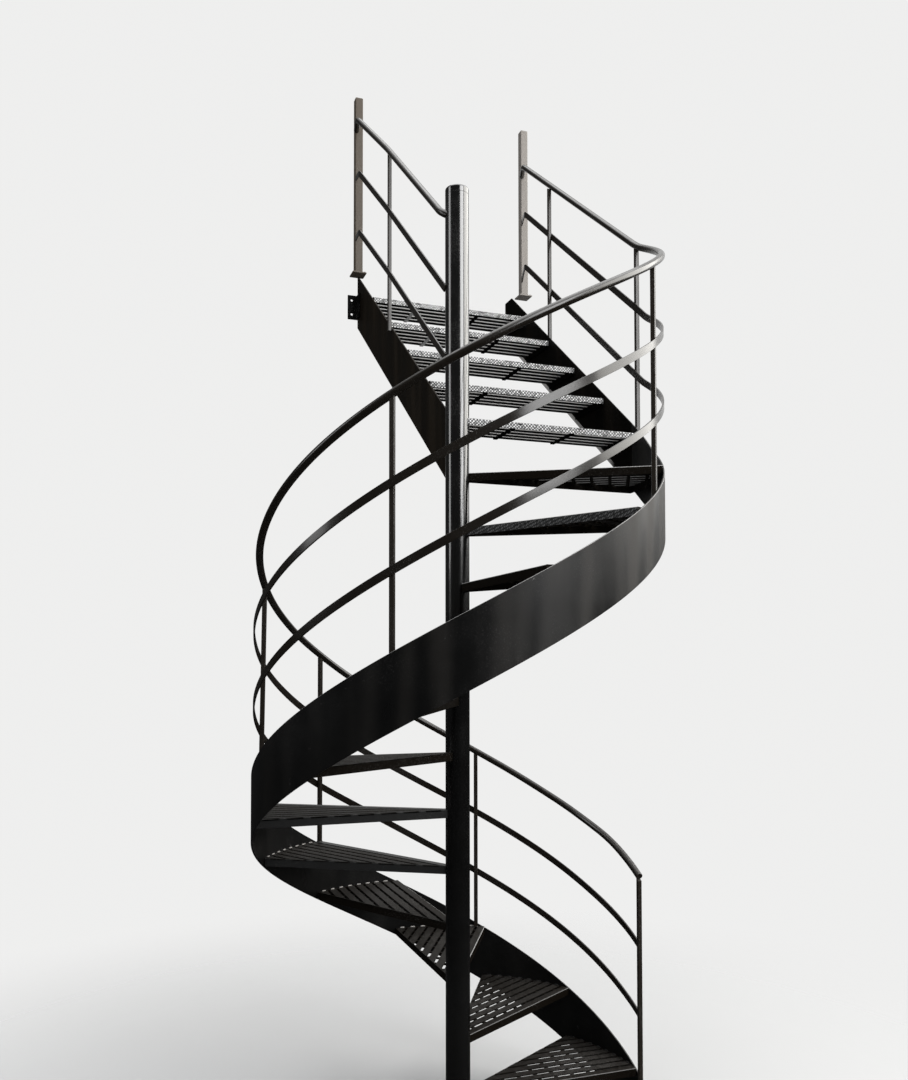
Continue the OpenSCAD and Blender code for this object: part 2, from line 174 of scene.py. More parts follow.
def placed(part, turn=0.0, shift=(0, 0, 0)):
    """A skin turned about the upright axis by an angle in degrees, and then moved."""
    c, s = np.cos(np.radians(turn)), np.sin(np.radians(turn))
    return part[0] @ np.array([[c, s, 0], [-s, c, 0], [0, 0, 1]]) + np.asarray(shift), part[1]


box = np.array([[(0, 0, z), (1, 0, z), (1, 1, z), (0, 1, z)] for z in (0, 1)])
print("a box's skin has", len(skin(box)[1]), "faces")

# %% Sections
EDGE = 0.001


def rounded(x0, x1, y0, y1, radius, corner=3):
    """Corners of a rectangle, each a quarter circle of a given radius, in anticlockwise order."""
    angle = np.linspace(0, np.pi / 2, corner)
    quarter = np.stack([np.cos(angle), np.sin(angle)], 1) * radius
    turns = [np.array([[c, s], [-s, c]]) for c, s in ((1, 0), (0, 1), (-1, 0), (0, -1))]
    middles = np.array([[x1 - radius, y1 - radius], [x0 + radius, y1 - radius],
                        [x0 + radius, y0 + radius], [x1 - radius, y0 + radius]])
    return np.concatenate([m + quarter @ t for m, t in zip(middles, turns)])


def square(width, radius, corner=3):
    """A square with round corners about the origin."""
    return rounded(-width / 2, width / 2, -width / 2, width / 2, radius, corner)


def circle(radius, sides):
    """Points of a circle, in anticlockwise order."""
    angle = np.arange(sides) * 2 * np.pi / sides
    return radius * np.stack([np.cos(angle), np.sin(angle)], 1)


print("a rounded section has", len(rounded(0, 1, 0, 1, 0.1)), "points")


# %% Shapes
def carried(section, path, swell=None):
    """Point (i, j) is path i, plus section j's first number along right i and its second along up i.

    Right is level and square to the path, up is square to both, and swell i scales the section."""
    ahead = np.gradient(path, axis=0)
    ahead /= np.linalg.norm(ahead, axis=1)[:, None]
    right = np.cross(ahead, (0, 0, 1))
    right /= np.linalg.norm(right, axis=1)[:, None]
    up = np.cross(right, ahead)
    size = (np.ones(len(path)) if swell is None else swell)[:, None, None]
    return skin(path[:, None] + size * section[:, :1] * right[:, None] + size * section[:, 1:] * up[:, None])


def rings(section, rows):
    """A level section, scaled and lifted in rows of (scale, height)."""
    scale, height = np.asarray(rows, float).T[:, :, None]
    return np.dstack([scale * section[:, 0], scale * section[:, 1], height + 0 * section[:, 0]])


def turned(profile, sides, centre=(0, 0, 0)):
    """Point (i, j) is the profile's radius i at angle j round the centre, at the profile's height i."""
    return placed(skin(rings(circle(1.0, sides), profile)), 0, centre)


def bar(y0, y1, z0, z1, low, high, radius=EDGE):
    """A rounded rectangle in y and z whose x goes from low to high, each a number or a function of y."""
    y, z = rounded(y0, y1, z0, z1, radius).T
    start, stop = (end(y) if callable(end) else np.full(len(y), end) for end in (low, high))
    x = start + (stop - start) * np.array([[0], [1]])
    return skin(np.dstack([x, y + 0 * x, z + 0 * x]))


print("a rounded bar has", len(bar(0, 1, 0, 1, 0, 1)[1]), "faces")

# %% [markdown]
# ## Paint as node groups
#
# Every piece wears the same black gloss paint, but not in the same state: dust lies where a
# surface looks up, chips and grit show as light flecks, and wide plates keep soft vertical marks
# from rolling and wiping, whose lighter colour is partly a painted reflection. Each effect is a node
# group with named inputs, built once. A material then places the groups it needs and gives each its
# own numbers. The groups hand over colours, roughness values and heights only, and the shader stays
# in the material. A socket knows the tree that it is in, so the helpers below need only the sockets
# that they join.

# %% Node helpers
def add_node(tree, kind, **settings):
    """A node of one kind, with its properties set."""
    return adjusted(tree.nodes.new("ShaderNode" + kind), **settings)


def feed(node, *in_order, **named):
    """Fills a node's sockets, in order or by name with _ for a space, and hands over its outputs.

    A socket is linked, and a value is set."""
    for key, source in [*enumerate(in_order), *named.items()]:
        target = node.inputs[key if isinstance(key, int) else key.replace("_", " ")]
        if isinstance(source, bpy.types.NodeSocket):
            node.id_data.links.new(source, target)
        else:
            target.default_value = source
    return node.outputs


def noise(where, scale, detail=3.0, rough=0.55):
    """A noise value between 0 and 1 at a given scale per metre."""
    made = add_node(where.id_data, "TexNoise")
    return feed(made, Vector=where, Scale=scale, Detail=detail, Roughness=rough)["Fac"]


def band(value, low, high, top=1.0, bottom=0.0):
    """Map Range: bottom below low, top above high, and a smooth step between them."""
    made = add_node(value.id_data, "MapRange", interpolation_type="SMOOTHSTEP")
    return feed(made, value, low, high, bottom, top)["Result"]


def maths(operation, result, *values):
    """The result of one Math node, or of a chain of them for more than two values."""
    for value in values:
        result = feed(add_node(result.id_data, "Math", operation=operation), result, value)[0]
    return result


def mixed(factor, a, b):
    """Colour a where the factor is 0 and colour b where it is 1."""
    return feed(add_node(factor.id_data, "Mix", data_type="RGBA"), Factor=factor, A=a, B=b)["Result"]


def axes(vector):
    """The three numbers of a vector, by the names X, Y and Z."""
    return feed(add_node(vector.id_data, "SeparateXYZ"), vector)


print("node helpers ready")


# %% Greys and groups
def grey(level, warm=0.0):
    """A linear colour of one level, a little more red and less blue where it is warm."""
    return (level * (1 + warm), level, level * (1 - warm), 1.0)


def new_group(name, outputs, **inputs):
    """A shader node group, its inputs' sockets and its output node. A tuple makes a colour input."""
    tree = bpy.data.node_groups.new(name, "ShaderNodeTree")
    for label, value in inputs.items():
        kind = "NodeSocketColor" if isinstance(value, tuple) else "NodeSocketFloat"
        socket = tree.interface.new_socket(label.replace("_", " "), in_out="INPUT", socket_type=kind)
        socket.default_value = value
    for label in outputs:
        kind = "NodeSocketColor" if label == "Color" else "NodeSocketFloat"
        tree.interface.new_socket(label, in_out="OUTPUT", socket_type=kind)
    return tree, tree.nodes.new("NodeGroupInput").outputs, tree.nodes.new("NodeGroupOutput")


print("a warm grey:", grey(0.5, 0.1))

# %% [markdown]
# ### Dust and flecks
#
# Dust settles on what looks up, so its mask is the upward part of the surface's normal times a
# broad noise. Flecks are the peaks of a fine noise: bare primer, grit and pollen. They thin out
# where a second, broad noise is low, because wear comes in patches.

# %% Group: dust and flecks
dusty, given, out = new_group(
    "dust and flecks", ("Color", "Roughness", "Height"), Paint=grey(0.01), Dust=grey(0.2), Fleck=grey(0.4),
    Dust_Amount=0.3, Fleck_Amount=0.3, Fleck_Scale=350.0, Roughness=0.3)
place = add_node(dusty, "TexCoord").outputs["Object"]
normal = add_node(dusty, "NewGeometry").outputs["Normal"]
broad = noise(place, 4.0)
fine = noise(place, 90.0, 4.0)
grit = noise(place, given["Fleck Scale"], 2.0)
up_side = band(axes(normal)["Z"], 0.15, 0.95)
film = maths("MULTIPLY", band(fine, 0.25, 0.75), band(broad, 0.25, 0.75, 1.0, 0.45))
dust_mask = maths("MULTIPLY", up_side, film, given["Dust Amount"])
patch = band(broad, 0.42, 0.62)
fleck_mask = maths("MULTIPLY", band(grit, 0.6, 0.68), patch, given["Fleck Amount"])
toned = mixed(band(fine, 0.3, 0.8, 0.35), given["Paint"], given["Dust"])
base = mixed(maths("MULTIPLY", given["Dust Amount"], 0.12), given["Paint"], toned)
feed(out, mixed(fleck_mask, mixed(dust_mask, base, given["Dust"]), given["Fleck"]),
     maths("ADD", given["Roughness"], maths("MULTIPLY", dust_mask, 0.45), band(broad, 0.3, 0.7, 0.08, -0.03)),
     maths("ADD", maths("MULTIPLY", fine, 0.4), maths("MULTIPLY", grit, 0.6)))
print("group", dusty.name, "has", len(dusty.nodes), "nodes")

# %% [markdown]
# ### Wiped streaks
#
# On the wide plates the paint shows soft upright bands and small scuffs. The pattern follows the
# plate round the turn, so it reads an attribute that each plate carries: metres along the plate
# and metres up it. Stretching that place makes a round noise into bands. The bands are lighter
# than the paint and fade towards the plate's foot: their added roughness is wear, and their lighter
# colour, strongest far from the foot, is partly a painted reflection.

# %% Group: streaks and scuffs
# Metres along the plate over which the streaks' painted reflection grows from its level at the foot to its
# full level.
SHEEN_RISE_ZONE = (2.5, 4.0)
streaked, given, out = new_group(
    "streaks, scuffs and painted sheen", ("Color", "Roughness"), Under=grey(0.01), Streak=grey(0.05), Scuff=grey(0.4),
    Streak_Amount=0.5, Scuff_Amount=0.5, At_Foot=1.0, Roughness=0.3)


def along_plate(tree):
    """The place that a plate's points carry: metres along the plate and metres up it."""
    return add_node(tree, "Attribute", attribute_name="along_plate").outputs["Vector"]


def stretched(scale, detail=3.0, rough=0.55):
    """A noise over the place along the plate, stretched by a scale in each direction."""
    where = feed(add_node(streaked, "Mapping"), Vector=along_plate(streaked), Scale=scale)
    return noise(where["Vector"], 1.0, detail, rough)


bands = band(stretched((9.0, 0.9, 1.0), 1.5), 0.4, 0.68)
hairs = band(stretched((300.0, 8.0, 1.0), 2.0), 0.3, 0.7, 0.02, -0.01)
marks = band(stretched((34.0, 60.0, 1.0), 5.0, 0.7), 0.66, 0.72)
zone = band(stretched((3.0, 6.0, 1.0)), 0.5, 0.6)
# Painted reflection: the streaks' lighter colour is weaker near the plate's foot and full further along.
far = band(axes(along_plate(streaked))["X"], *SHEEN_RISE_ZONE, 1.0, given["At Foot"])
streak_mask = maths("MULTIPLY", bands, far, given["Streak Amount"])
scuff_mask = maths("MULTIPLY", marks, zone, given["Scuff Amount"])
wiped = mixed(streak_mask, given["Under"], given["Streak"])
feed(out, mixed(scuff_mask, wiped, given["Scuff"]),
     maths("ADD", given["Roughness"], maths("MULTIPLY", streak_mask, 0.3), hairs))
print("group", streaked.name, "has", len(streaked.nodes), "nodes")

# %% [markdown]
# ### Grip
#
# The nosings of the upper steps carry a knurled grip: pale metal crossed by two sets of slanting
# grooves. Each set is a saw of the place along the edge plus or minus the place across it, and
# the grooves hold dirt, so one value gives the colour and the bump. A noise wears some of it dark.

# %% Group: knurled grip
knurled, given, out = new_group(
    "knurled grip", ("Color", "Height"), Metal=grey(0.5), Groove=grey(0.03), Pitch=0.007)
place = add_node(knurled, "TexCoord").outputs["Object"]
spot = axes(place)
across = maths("ADD", spot["Y"], spot["Z"])
grooves = []
for side in ("ADD", "SUBTRACT"):
    slanted = maths("DIVIDE", maths(side, spot["X"], across), given["Pitch"])
    grooves.append(maths("PINGPONG", slanted, 0.5))
height = band(maths("MINIMUM", *grooves), 0.06, 0.3)
worn = band(noise(place, 110.0, 2.5, 0.6), 0.4, 0.54, 1.0, 0.15)
face = maths("MULTIPLY", height, worn)
feed(out, mixed(face, given["Groove"], given["Metal"]), height)
print("group", knurled.name, "has", len(knurled.nodes), "nodes")

# %% [markdown]
# ## Materials
#
# One function places the dust group and, where it is asked to, the streaks or the grip before it.
# Numbers that are the same all over a surface, such as the strength of the reflections, are set
# on the shader itself.

# %% The paint function
COAT_ROUGH = 0.08
DUST_WARM = 0.06
FLECK_WARM = 0.03
STREAKS = 0.8
SCUFF = grey(0.4)
# A pale grey, and the metres along a flight plate over which it comes in: a painted highlight along the
# plate's lower edge.
LOWER_EDGE_HIGHLIGHT = grey(0.42, 0.04)
LOWER_EDGE_HIGHLIGHT_FROM = (0.13, 0.17)
GRIT_IN_GRIP = 0.1


def new_material(name):
    """A material with nodes, its tree and its shader."""
    made = bpy.data.materials.new(name)
    made.use_nodes = True
    return made, made.node_tree, made.node_tree.nodes["Principled BSDF"]


def paint(name, level, warm=0.0, dust=0.3, flecks=0.3, roughness=0.3, shine=0.5, grain=0.00006,
          streak=None, streak_warm=0.3, scuffs=0.2, sheen_at_foot=1.0, grip=None, pitch=None, fleck_scale=350.0,
          fleck_level=0.35, dust_level=0.16, coat_weight=0.0, clean_below=None, lower_edge_highlight_below=None):
    """Painted steel: dust and flecks over a colour that is plain, streaked or knurled.

    The streak and the grip are levels of grey. Below the height clean_below there are a tenth of
    the flecks. Where a plate lies below the line of nosings by more than a given height, it gets a
    painted highlight: a pale line along its lower edge."""
    made, tree, shader = new_material(name)
    coat = add_node(tree, "Group", node_tree=dusty)
    colour, rough, relief = feed(
        coat, Paint=grey(level, warm), Dust=grey(dust_level, DUST_WARM), Fleck=grey(fleck_level, FLECK_WARM),
        Dust_Amount=dust, Fleck_Amount=flecks, Fleck_Scale=fleck_scale, Roughness=roughness)
    if clean_below:
        height = axes(add_node(tree, "TexCoord").outputs["Object"])["Z"]
        feed(coat, Fleck_Amount=band(height, clean_below - 0.4, clean_below + 0.2, flecks, 0.1 * flecks))
    if streak:
        under = feed(add_node(tree, "Group", node_tree=streaked), Under=grey(level, warm),
                     Streak=grey(streak, streak_warm), Scuff=SCUFF, Streak_Amount=STREAKS,
                     Scuff_Amount=scuffs, At_Foot=sheen_at_foot, Roughness=0.0)
        feed(coat, Paint=under["Color"])
        rough = maths("ADD", rough, under["Roughness"])
    if grip:
        under = feed(add_node(tree, "Group", node_tree=knurled), Metal=grey(grip), Groove=grey(level),
                     Pitch=pitch)
        feed(coat, Paint=under["Color"])
        relief = maths("ADD", maths("MULTIPLY", relief, GRIT_IN_GRIP), under["Height"])
    # A pale line along the plate's lower edge, from 0.17 m along it: a painted highlight.
    if lower_edge_highlight_below:
        place = axes(along_plate(tree))
        edge = band(place["Y"], lower_edge_highlight_below - 0.001, lower_edge_highlight_below + 0.001, 0.0, 1.0)
        colour = mixed(maths("MULTIPLY", edge, band(place["X"], *LOWER_EDGE_HIGHLIGHT_FROM)), colour, LOWER_EDGE_HIGHLIGHT)
    bump = feed(add_node(tree, "Bump"), Height=relief, Distance=grain)["Normal"]
    feed(shader, Base_Color=colour, Roughness=rough, Normal=bump, Specular_IOR_Level=shine,
         Coat_Weight=coat_weight, Coat_Roughness=COAT_ROUGH)
    return made


print("a coat of paint reflects with a roughness of", COAT_ROUGH)

# %% The paints
column_paint = paint("column paint", 0.002, 0.02, dust=0.1, flecks=0.35, roughness=0.15, shine=1.0,
                     fleck_scale=520.0, coat_weight=0.6, clean_below=2.5)
rail_paint = paint("rail paint", 0.007, 0.3, flecks=0.15, roughness=0.2, shine=0.6, grain=0.00002)
# The helical plate's streaks are lighter than its paint and weak near its foot: partly a painted reflection.
plate_paint = paint("plate paint", 0.003, dust=0.15, flecks=0.08, shine=0.42,
                    streak=0.02, streak_warm=0.15, scuffs=0.6, sheen_at_foot=0.15)
# The outer flight plate has a painted highlight along its lower edge.
flight_plate_paint = paint("flight plate paint", 0.0016, 0.3, dust=0.1, flecks=0.06, roughness=0.38,
                           shine=0.03, streak=0.006, lower_edge_highlight_below=-0.223)
# The inner flight plate's paint and streaks are lighter and browner than the outer plate's: partly a painted
# reflection.
inner_plate_paint_and_reflection = paint("inner plate paint with painted reflection", 0.005, 0.35, dust=0.15, flecks=0.06, roughness=0.38,
                          shine=0.05, streak=0.014, streak_warm=0.35)
tread_paint = paint("tread paint", 0.009, 0.15, dust=0.5, flecks=0.35, roughness=0.45, shine=0.05,
                    grain=0.0003, dust_level=0.08)
front_paint = paint("tread front paint", 0.005, 0.3, dust=0.15, flecks=0.15, roughness=0.4, shine=0.03)
pale_front_paint = paint("pale tread front paint", 0.02, dust=0.2, flecks=0.15, roughness=0.35, shine=0.2)
step_paint = paint("step paint", 0.003, 0.03, dust=0.2, flecks=0.4, roughness=0.45, shine=0.03, grain=0.0003)
# Darker than the step paint, for the straps and side bars under the grating: painted shade.
shaded_strap_paint = paint("step strap paint with painted shade", 0.0012, 0.1, dust=0.1, flecks=0.05, roughness=0.45, shine=0.02)
# A pale grey for the front edges of the step bars, for one strap under each of the top two steps and for the
# helical plate's top edge: a painted highlight where light catches them.
edge_highlight_paint = paint("painted highlight on bar edges", 0.34, 0.02, dust=0.2, flecks=0.6, roughness=0.45, shine=0.3, grain=0.0003)
# Paler greys for the nosings' top edges, the helical plate's top edge and the last winder's bar edges:
# painted highlights, the second one dimmer.
highlight_line_paint = paint("painted highlight on nosing edges", 0.45, 0.02, dust=0.2, flecks=0.6, roughness=0.4, grain=0.0003)
dim_highlight_line_paint = paint("dim painted highlight on nosing edges", 0.16, 0.02, flecks=0.6, roughness=0.45, shine=0.3, grain=0.0003)
grip_paint = paint("knurled nosing", 0.03, dust=0.1, flecks=0.1, roughness=0.4, shine=0.4, grain=0.0008,
                   grip=1.0, pitch=0.013)
worn_grip_paint = paint("worn knurled nosing", 0.008, dust=0.2, flecks=0.2, roughness=0.4, shine=0.2,
                        grain=0.0008, grip=0.14, pitch=0.012)
upright_paint = paint("upright paint", 0.014, 0.25, flecks=0.25, roughness=0.25, grain=0.00003,
                      fleck_level=0.3)
post_paint = paint("post paint", 0.19, 0.1, dust=0.4, flecks=0.5, roughness=0.4, shine=0.4)
# A darker, browner copy of the post paint for the inner post: painted shade.
shaded_post_paint = paint("post paint with painted shade", 0.06, 0.28, dust=0.4, flecks=0.5, roughness=0.4, shine=0.3)
stitch_paint = paint("dusty stitch weld", 0.45, 0.05, dust=0.5, flecks=0.6, roughness=0.5, grain=0.0003)
weld_paint = paint("painted weld", 0.006, 0.03, flecks=0.4, shine=0.3, grain=0.0003)
bolt_paint = paint("painted bolt", 0.05, flecks=0.8, roughness=0.35, grain=0.0002)
print(len(bpy.data.materials), "materials")

# %% [markdown]
# ## From arrays to pieces
#
# `piece` writes points and faces into a mesh, shades it smooth up to its real edges, and hangs it
# on the exact model: it says which body the piece rides on, which nodes it stands for and which
# finish it takes. A weighted normal keeps wide flats flat beside their small round edges.

# %% The piece maker
SHARP = np.radians(40)


def meshed(name, points, faces, finishes):
    """A new object whose mesh has points and faces and takes a list of finishes."""
    mesh = bpy.data.meshes.new(name)
    mesh.from_pydata(points, [], faces)
    for finish in finishes:
        mesh.materials.append(finish)
    return add_object(name, mesh)


def store_place(mesh, place):
    """Writes each point's place along its plate into the attribute along_plate."""
    store = mesh.attributes.new("along_plate", "FLOAT_VECTOR", "POINT")
    store.data.foreach_set("vector", np.asarray(place, np.float32).ravel())


def hung(made, replaces):
    """An object with a weighted normal, hung on the exact model."""
    made.modifiers.new("flat faces", "WEIGHTED_NORMAL").keep_sharp = True
    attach(made, "root")
    if replaces:
        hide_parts(*replaces)
    return made


def piece(name, part, finishes, replaces=(), pick=None, place=None):
    """A finished object. pick gives each face the number of its finish, and place each point its place."""
    made = meshed(name, *part, finishes)
    mesh = made.data
    if pick is not None:
        mesh.polygons.foreach_set("material_index", np.asarray(pick, np.int32))
    if place is not None:
        store_place(mesh, place)
    mesh.validate()
    mesh.shade_smooth()
    mesh.set_sharp_from_angle(angle=SHARP)
    print("%-26s %6d points %6d faces" % (name, len(part[0]), len(part[1])))
    return hung(made, replaces)


print("piece maker ready")

# %% [markdown]
# ## Column
#
# The column is a length of drawn tube under a pressed cap. It could be a cylinder with a bevel,
# but turning its profile gives the small gap of the weld under the cap and the cap's soft edge in
# one go. The profile starts and ends on a flat disc, so the skin is closed. The plate below it
# and the angle at the stair's foot are plain already, so a copy of each gets its edges bevelled.

# %% Column and cap
COLUMN_SIDES = 128
BORE_R = 0.03895
CAP_BASE = 3.52
CAP_EDGE = 0.009
BASE_T = 0.012
SOFT = 0.0006
tube_profile = [(BORE_R, BASE_T), (COLUMN_R - SOFT, BASE_T), (COLUMN_R, BASE_T + SOFT),
                (COLUMN_R, CAP_BASE - SOFT), (COLUMN_R - SOFT, CAP_BASE), (BORE_R, CAP_BASE)]
piece("column_tube", turned(tube_profile, COLUMN_SIDES), [column_paint], ["column"])

bend = np.radians(np.linspace(0, 90, 9))
cap_top = COLUMN_TOP - 0.002
cap_edge = np.stack([COLUMN_R - CAP_EDGE * (1 - np.cos(bend)), cap_top - CAP_EDGE * (1 - np.sin(bend))], 1)
crown = np.stack([[0.024, 0.012, 0.002], [cap_top + 0.0012, COLUMN_TOP - 0.0002, COLUMN_TOP]], 1)
cap_foot = [(0.02, CAP_BASE), (COLUMN_R - SOFT, CAP_BASE), (COLUMN_R, CAP_BASE + SOFT)]
cap_profile = np.concatenate([cap_foot, cap_edge, crown])
piece("cap", turned(cap_profile, COLUMN_SIDES), [column_paint], ["column_cap"])


# %% Base plate and foot angle
def dressed(name, node, finish, width=0.0012):
    """A copy of an exact node with its corners merged and bevelled, which stands for the node."""
    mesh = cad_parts[node].data.copy()
    made = add_object(name, mesh)
    mesh.materials.clear()
    mesh.materials.append(finish)
    adjusted(made.modifiers.new("merge", "WELD"), merge_threshold=0.00001)
    adjusted(made.modifiers.new("flat", "DECIMATE"), decimate_type="DISSOLVE", angle_limit=np.radians(1))
    adjusted(made.modifiers.new("edges", "BEVEL"), width=width, segments=2, limit_method="ANGLE",
             angle_limit=np.radians(30))
    mesh.shade_smooth()
    return hung(made, [node])


dressed("base_plate_steel", "base_plate", step_paint, 0.0015)
dressed("foot_angle", "stringer_foot", step_paint)
print("column stands on a plate", BASE_T * 1000, "mm thick")

# %% [markdown]
# ## The helical plate
#
# This is flat bar, rolled so that it climbs as it turns. Its faces stay upright all the way, so a
# section that is carried along a sloping path would lean: instead each station of the grid is an
# upright rectangle with small round corners, set between the plate's lower and upper edge. Near
# the end of the turn the edges leave the spiral's slope for the steeper flight, and a soft
# maximum of the two slopes rounds that corner.

# %% Lines round the turn
def soft_max(a, b, size):
    """The larger of a and b with a rounded corner: (a + b + root of (a - b)^2 + size^2) / 2."""
    return (a + b + np.sqrt((a - b) ** 2 + size ** 2)) / 2


def bent_height(turn, on_spiral, on_flight, size=0.006):
    """Height of a member that follows the spiral and then the flight, unrolled to one line."""
    unrolled = np.radians(turn - 360) * (OUTER_R + 0.0005)
    return soft_max(spiral_height(turn) + on_spiral, flight_height(unrolled) + on_flight, size)


def round_turn(turn, radius):
    """Points on a circle at angles in degrees, with a height of 0."""
    return np.stack([radius * np.cos(np.radians(turn)), radius * np.sin(np.radians(turn)), 0 * turn], -1)


def upright_plate(inner, outer, bottom, top, radius=EDGE):
    """Station i is an upright rounded rectangle between two plan points, from bottom i to top i."""
    thick = np.linalg.norm((outer - inner)[0])
    corners = rounded(0, thick, -1, 1, radius)
    side = corners[:, 0] / thick
    upper = corners[:, 1] > 0
    offset = corners[:, 1] - np.where(upper, 1, -1)
    plan = inner[:, None, :] + side[None, :, None] * (outer - inner)[:, None, :]
    height = np.where(upper[None, :], top[:, None], bottom[:, None]) + offset[None, :]
    return skin(plan + height[:, :, None] * np.array([0, 0, 1]))


print("the first nosing is %.3f m high" % spiral_height(0))

# %% Helical plate
PLATE_TURN = np.arange(-8, 360.01, 1.0)
DROP = 0.008
DEPTH = 0.234
LIFT = 0.017
FLIGHT_DEPTH = 0.262
GAP = 0.0005
# Angles in degrees from which the plate's top edge takes a painted highlight, and then a brighter one.
PLATE_EDGE_LIT_FROM = (200, 250)

bottom = np.maximum(bent_height(PLATE_TURN, -DROP - DEPTH, LIFT - FLIGHT_DEPTH), GAP)
top = bent_height(PLATE_TURN, -DROP, LIFT)
helix = upright_plate(round_turn(PLATE_TURN, INNER_R), round_turn(PLATE_TURN, OUTER_R), bottom, top)
corners = len(helix[0]) // len(PLATE_TURN)
travelled = np.repeat(np.radians(PLATE_TURN) * OUTER_R, corners)
level = helix[0][:, 2] - np.repeat(bottom, corners)
pick = np.zeros(len(helix[1]), int)
strips = pick[:corners * (len(PLATE_TURN) - 1)].reshape(-1, corners)
# From 200 degrees round the turn, the faces of the plate's outer top corner take a painted highlight, and
# from 250 degrees a brighter one.
for finish, lit_from in enumerate(PLATE_EDGE_LIT_FROM, 1):
    strips[PLATE_TURN[:-1] > lit_from, :2] = finish
piece("helical_plate", helix, [plate_paint, edge_highlight_paint, highlight_line_paint], ["outer_stringer"], pick=pick,
      place=np.stack([travelled, level, 0 * level], 1))

# %% [markdown]
# ## The flight's two plates
#
# Each is straight flat bar between the turn and the floor above, cut level at its top end so that
# it tucks under that floor's edge. The exact model already has this outline, so a copy of it gets
# its saw-cut edges from a bevel and the same streaked paint as the helical plate.

# %% Flight plates
def along_flight(made):
    """Gives each point of a flight plate its place: metres along the flight, metres above its slope."""
    mesh = made.data
    spots = np.zeros(len(mesh.vertices) * 3, np.float32)
    mesh.vertices.foreach_get("co", spots)
    x, y, z = spots.reshape(-1, 3).T
    store_place(mesh, np.stack([y, z - flight_height(y), 0 * x], 1))


along_flight(dressed("outer_flight_plate", "outer_flight_stringer", flight_plate_paint))
along_flight(dressed("inner_flight_plate", "inner_flight_stringer", inner_plate_paint_and_reflection))
for side in ("outer", "inner"):
    dressed(side + "_wall_bracket", side + "_wall_angle", step_paint)
print("flight plates and wall brackets dressed")

# %% [markdown]
# ## Winder treads
#
# A winder is a small grating: a folded nosing in front, flat bars behind it with open slots
# between them, a bar along the back, and a curved bar that is welded to the helical plate. Every
# bar is parallel to the nosing, and runs from the column, or from the back line, out to the
# plate's circle. So a bar's two ends are functions of its distance behind the nosing, and one
# formula cuts them all. The tread is worked out once and turned into its twelve places. Gaps of a
# few tenths of a millimetre keep two faces from lying in one plane. Most faces take the finish of
# the layer that they belong to, and a few take one by where they look, such as the pale line along
# the nosing's top edge, which is a painted highlight.

# %% Winder shapes
NOSING_W = 0.032
BAR_W = 0.03
SLOT = 0.012
PITCH = BAR_W + SLOT
BAR_T = 0.005
FRAME_H = 0.03
FRAME_T = 0.005
OVERLAP = 0.012
NOSING_EDGE = 0.002
CROSS_W = 0.012
CROSS_T = 0.006
CROSS_PLACES = np.arange(0.14, 0.70, 0.068)
turn = np.radians(TURN)
BACK_Y = SEAT_R * np.sin(turn)


def winder_in(y):
    """X of a bar's inner end: on the column's circle, or on the back line where that is further out."""
    y = np.clip(y, 0, None)
    on_column = np.sqrt(np.clip(CUT_R ** 2 - y ** 2, 0, None))
    return np.maximum(on_column, (y * np.cos(turn) - OVERLAP) / np.sin(turn))


def winder_out(y):
    """X of a bar's outer end, on the seat circle inside the helical plate."""
    return np.sqrt(SEAT_R ** 2 - y ** 2)


def arc_bar(radius, thick, z0, z1, angles):
    """An upright bar bent to a circle, from its radius inwards by its thickness."""
    inner, outer = round_turn(angles, radius - thick), round_turn(angles, radius)
    return upright_plate(inner, outer, np.full(len(angles), z0), np.full(len(angles), z1))


def turned_back(part):
    """A bar along X moved onto the back line, which lies one turn on and an overlap behind it."""
    points, faces = placed(part, TURN)
    return points + OVERLAP * np.array([-np.sin(turn), np.cos(turn), 0]), faces


def cross_bar(x):
    """A bar under the grating, square to the nosing, from it to the back line or the rim."""
    reach = (x * np.sin(turn) + OVERLAP) / np.cos(turn) - 0.004
    limit = min(reach, np.sqrt((SEAT_R - FRAME_T) ** 2 - (x + CROSS_W) ** 2))
    points, faces = bar(x, x + CROSS_W, -BAR_T - CROSS_T, -BAR_T + 0.0003, 0.003, limit)
    return points[:, [1, 0, 2]], [f[::-1] for f in faces]


print("a winder is", round(BACK_Y * 1000), "mm deep at its outer end")

# %% One winder
back_angle = TURN + np.degrees(np.arcsin(OVERLAP / SEAT_R))
back_ends = [np.sqrt(radius ** 2 - OVERLAP ** 2) + gap
             for radius, gap in ((COLUMN_R, 0.001), (SEAT_R, -0.0005))]
grating = joined([bar(y, min(y + BAR_W, BACK_Y + 0.006), -BAR_T, 0, winder_in, winder_out)
                  for y in np.arange(NOSING_W + SLOT, BACK_Y, PITCH)])
back = turned_back(bar(-FRAME_T, 0, -FRAME_H, -0.0002, *back_ends))
rim = arc_bar(SEAT_R, FRAME_T, -FRAME_H, -0.0004, np.linspace(0.1, back_angle - 0.1, 31))
frame_part = joined([cross_bar(x) for x in CROSS_PLACES] + [back, rim])
front = joined([bar(0, NOSING_W, -BAR_T, 0, winder_in, winder_out, NOSING_EDGE),
                bar(0.0002, FRAME_T, -FRAME_H, -0.002, winder_in, winder_out)])
print("one winder:", len(grating[1]), "faces in the grating,", len(frame_part[1]), "in the frame")

# %% Finishes by face
FRONT = (0, -1, 0)
UP_FRONT = (0, -0.7071, 0.7071)


def looking(part, way, least=0.7):
    """For each face, whether the sum of its edges' cross products points along a way, to a least cosine."""
    points, faces = part
    looks = []
    for f in faces:
        p = points[f]
        normal = np.cross(p, np.roll(p, -1, 0)).sum(0)
        looks.append(normal @ np.asarray(way, float) > least * np.linalg.norm(normal))
    return np.array(looks)


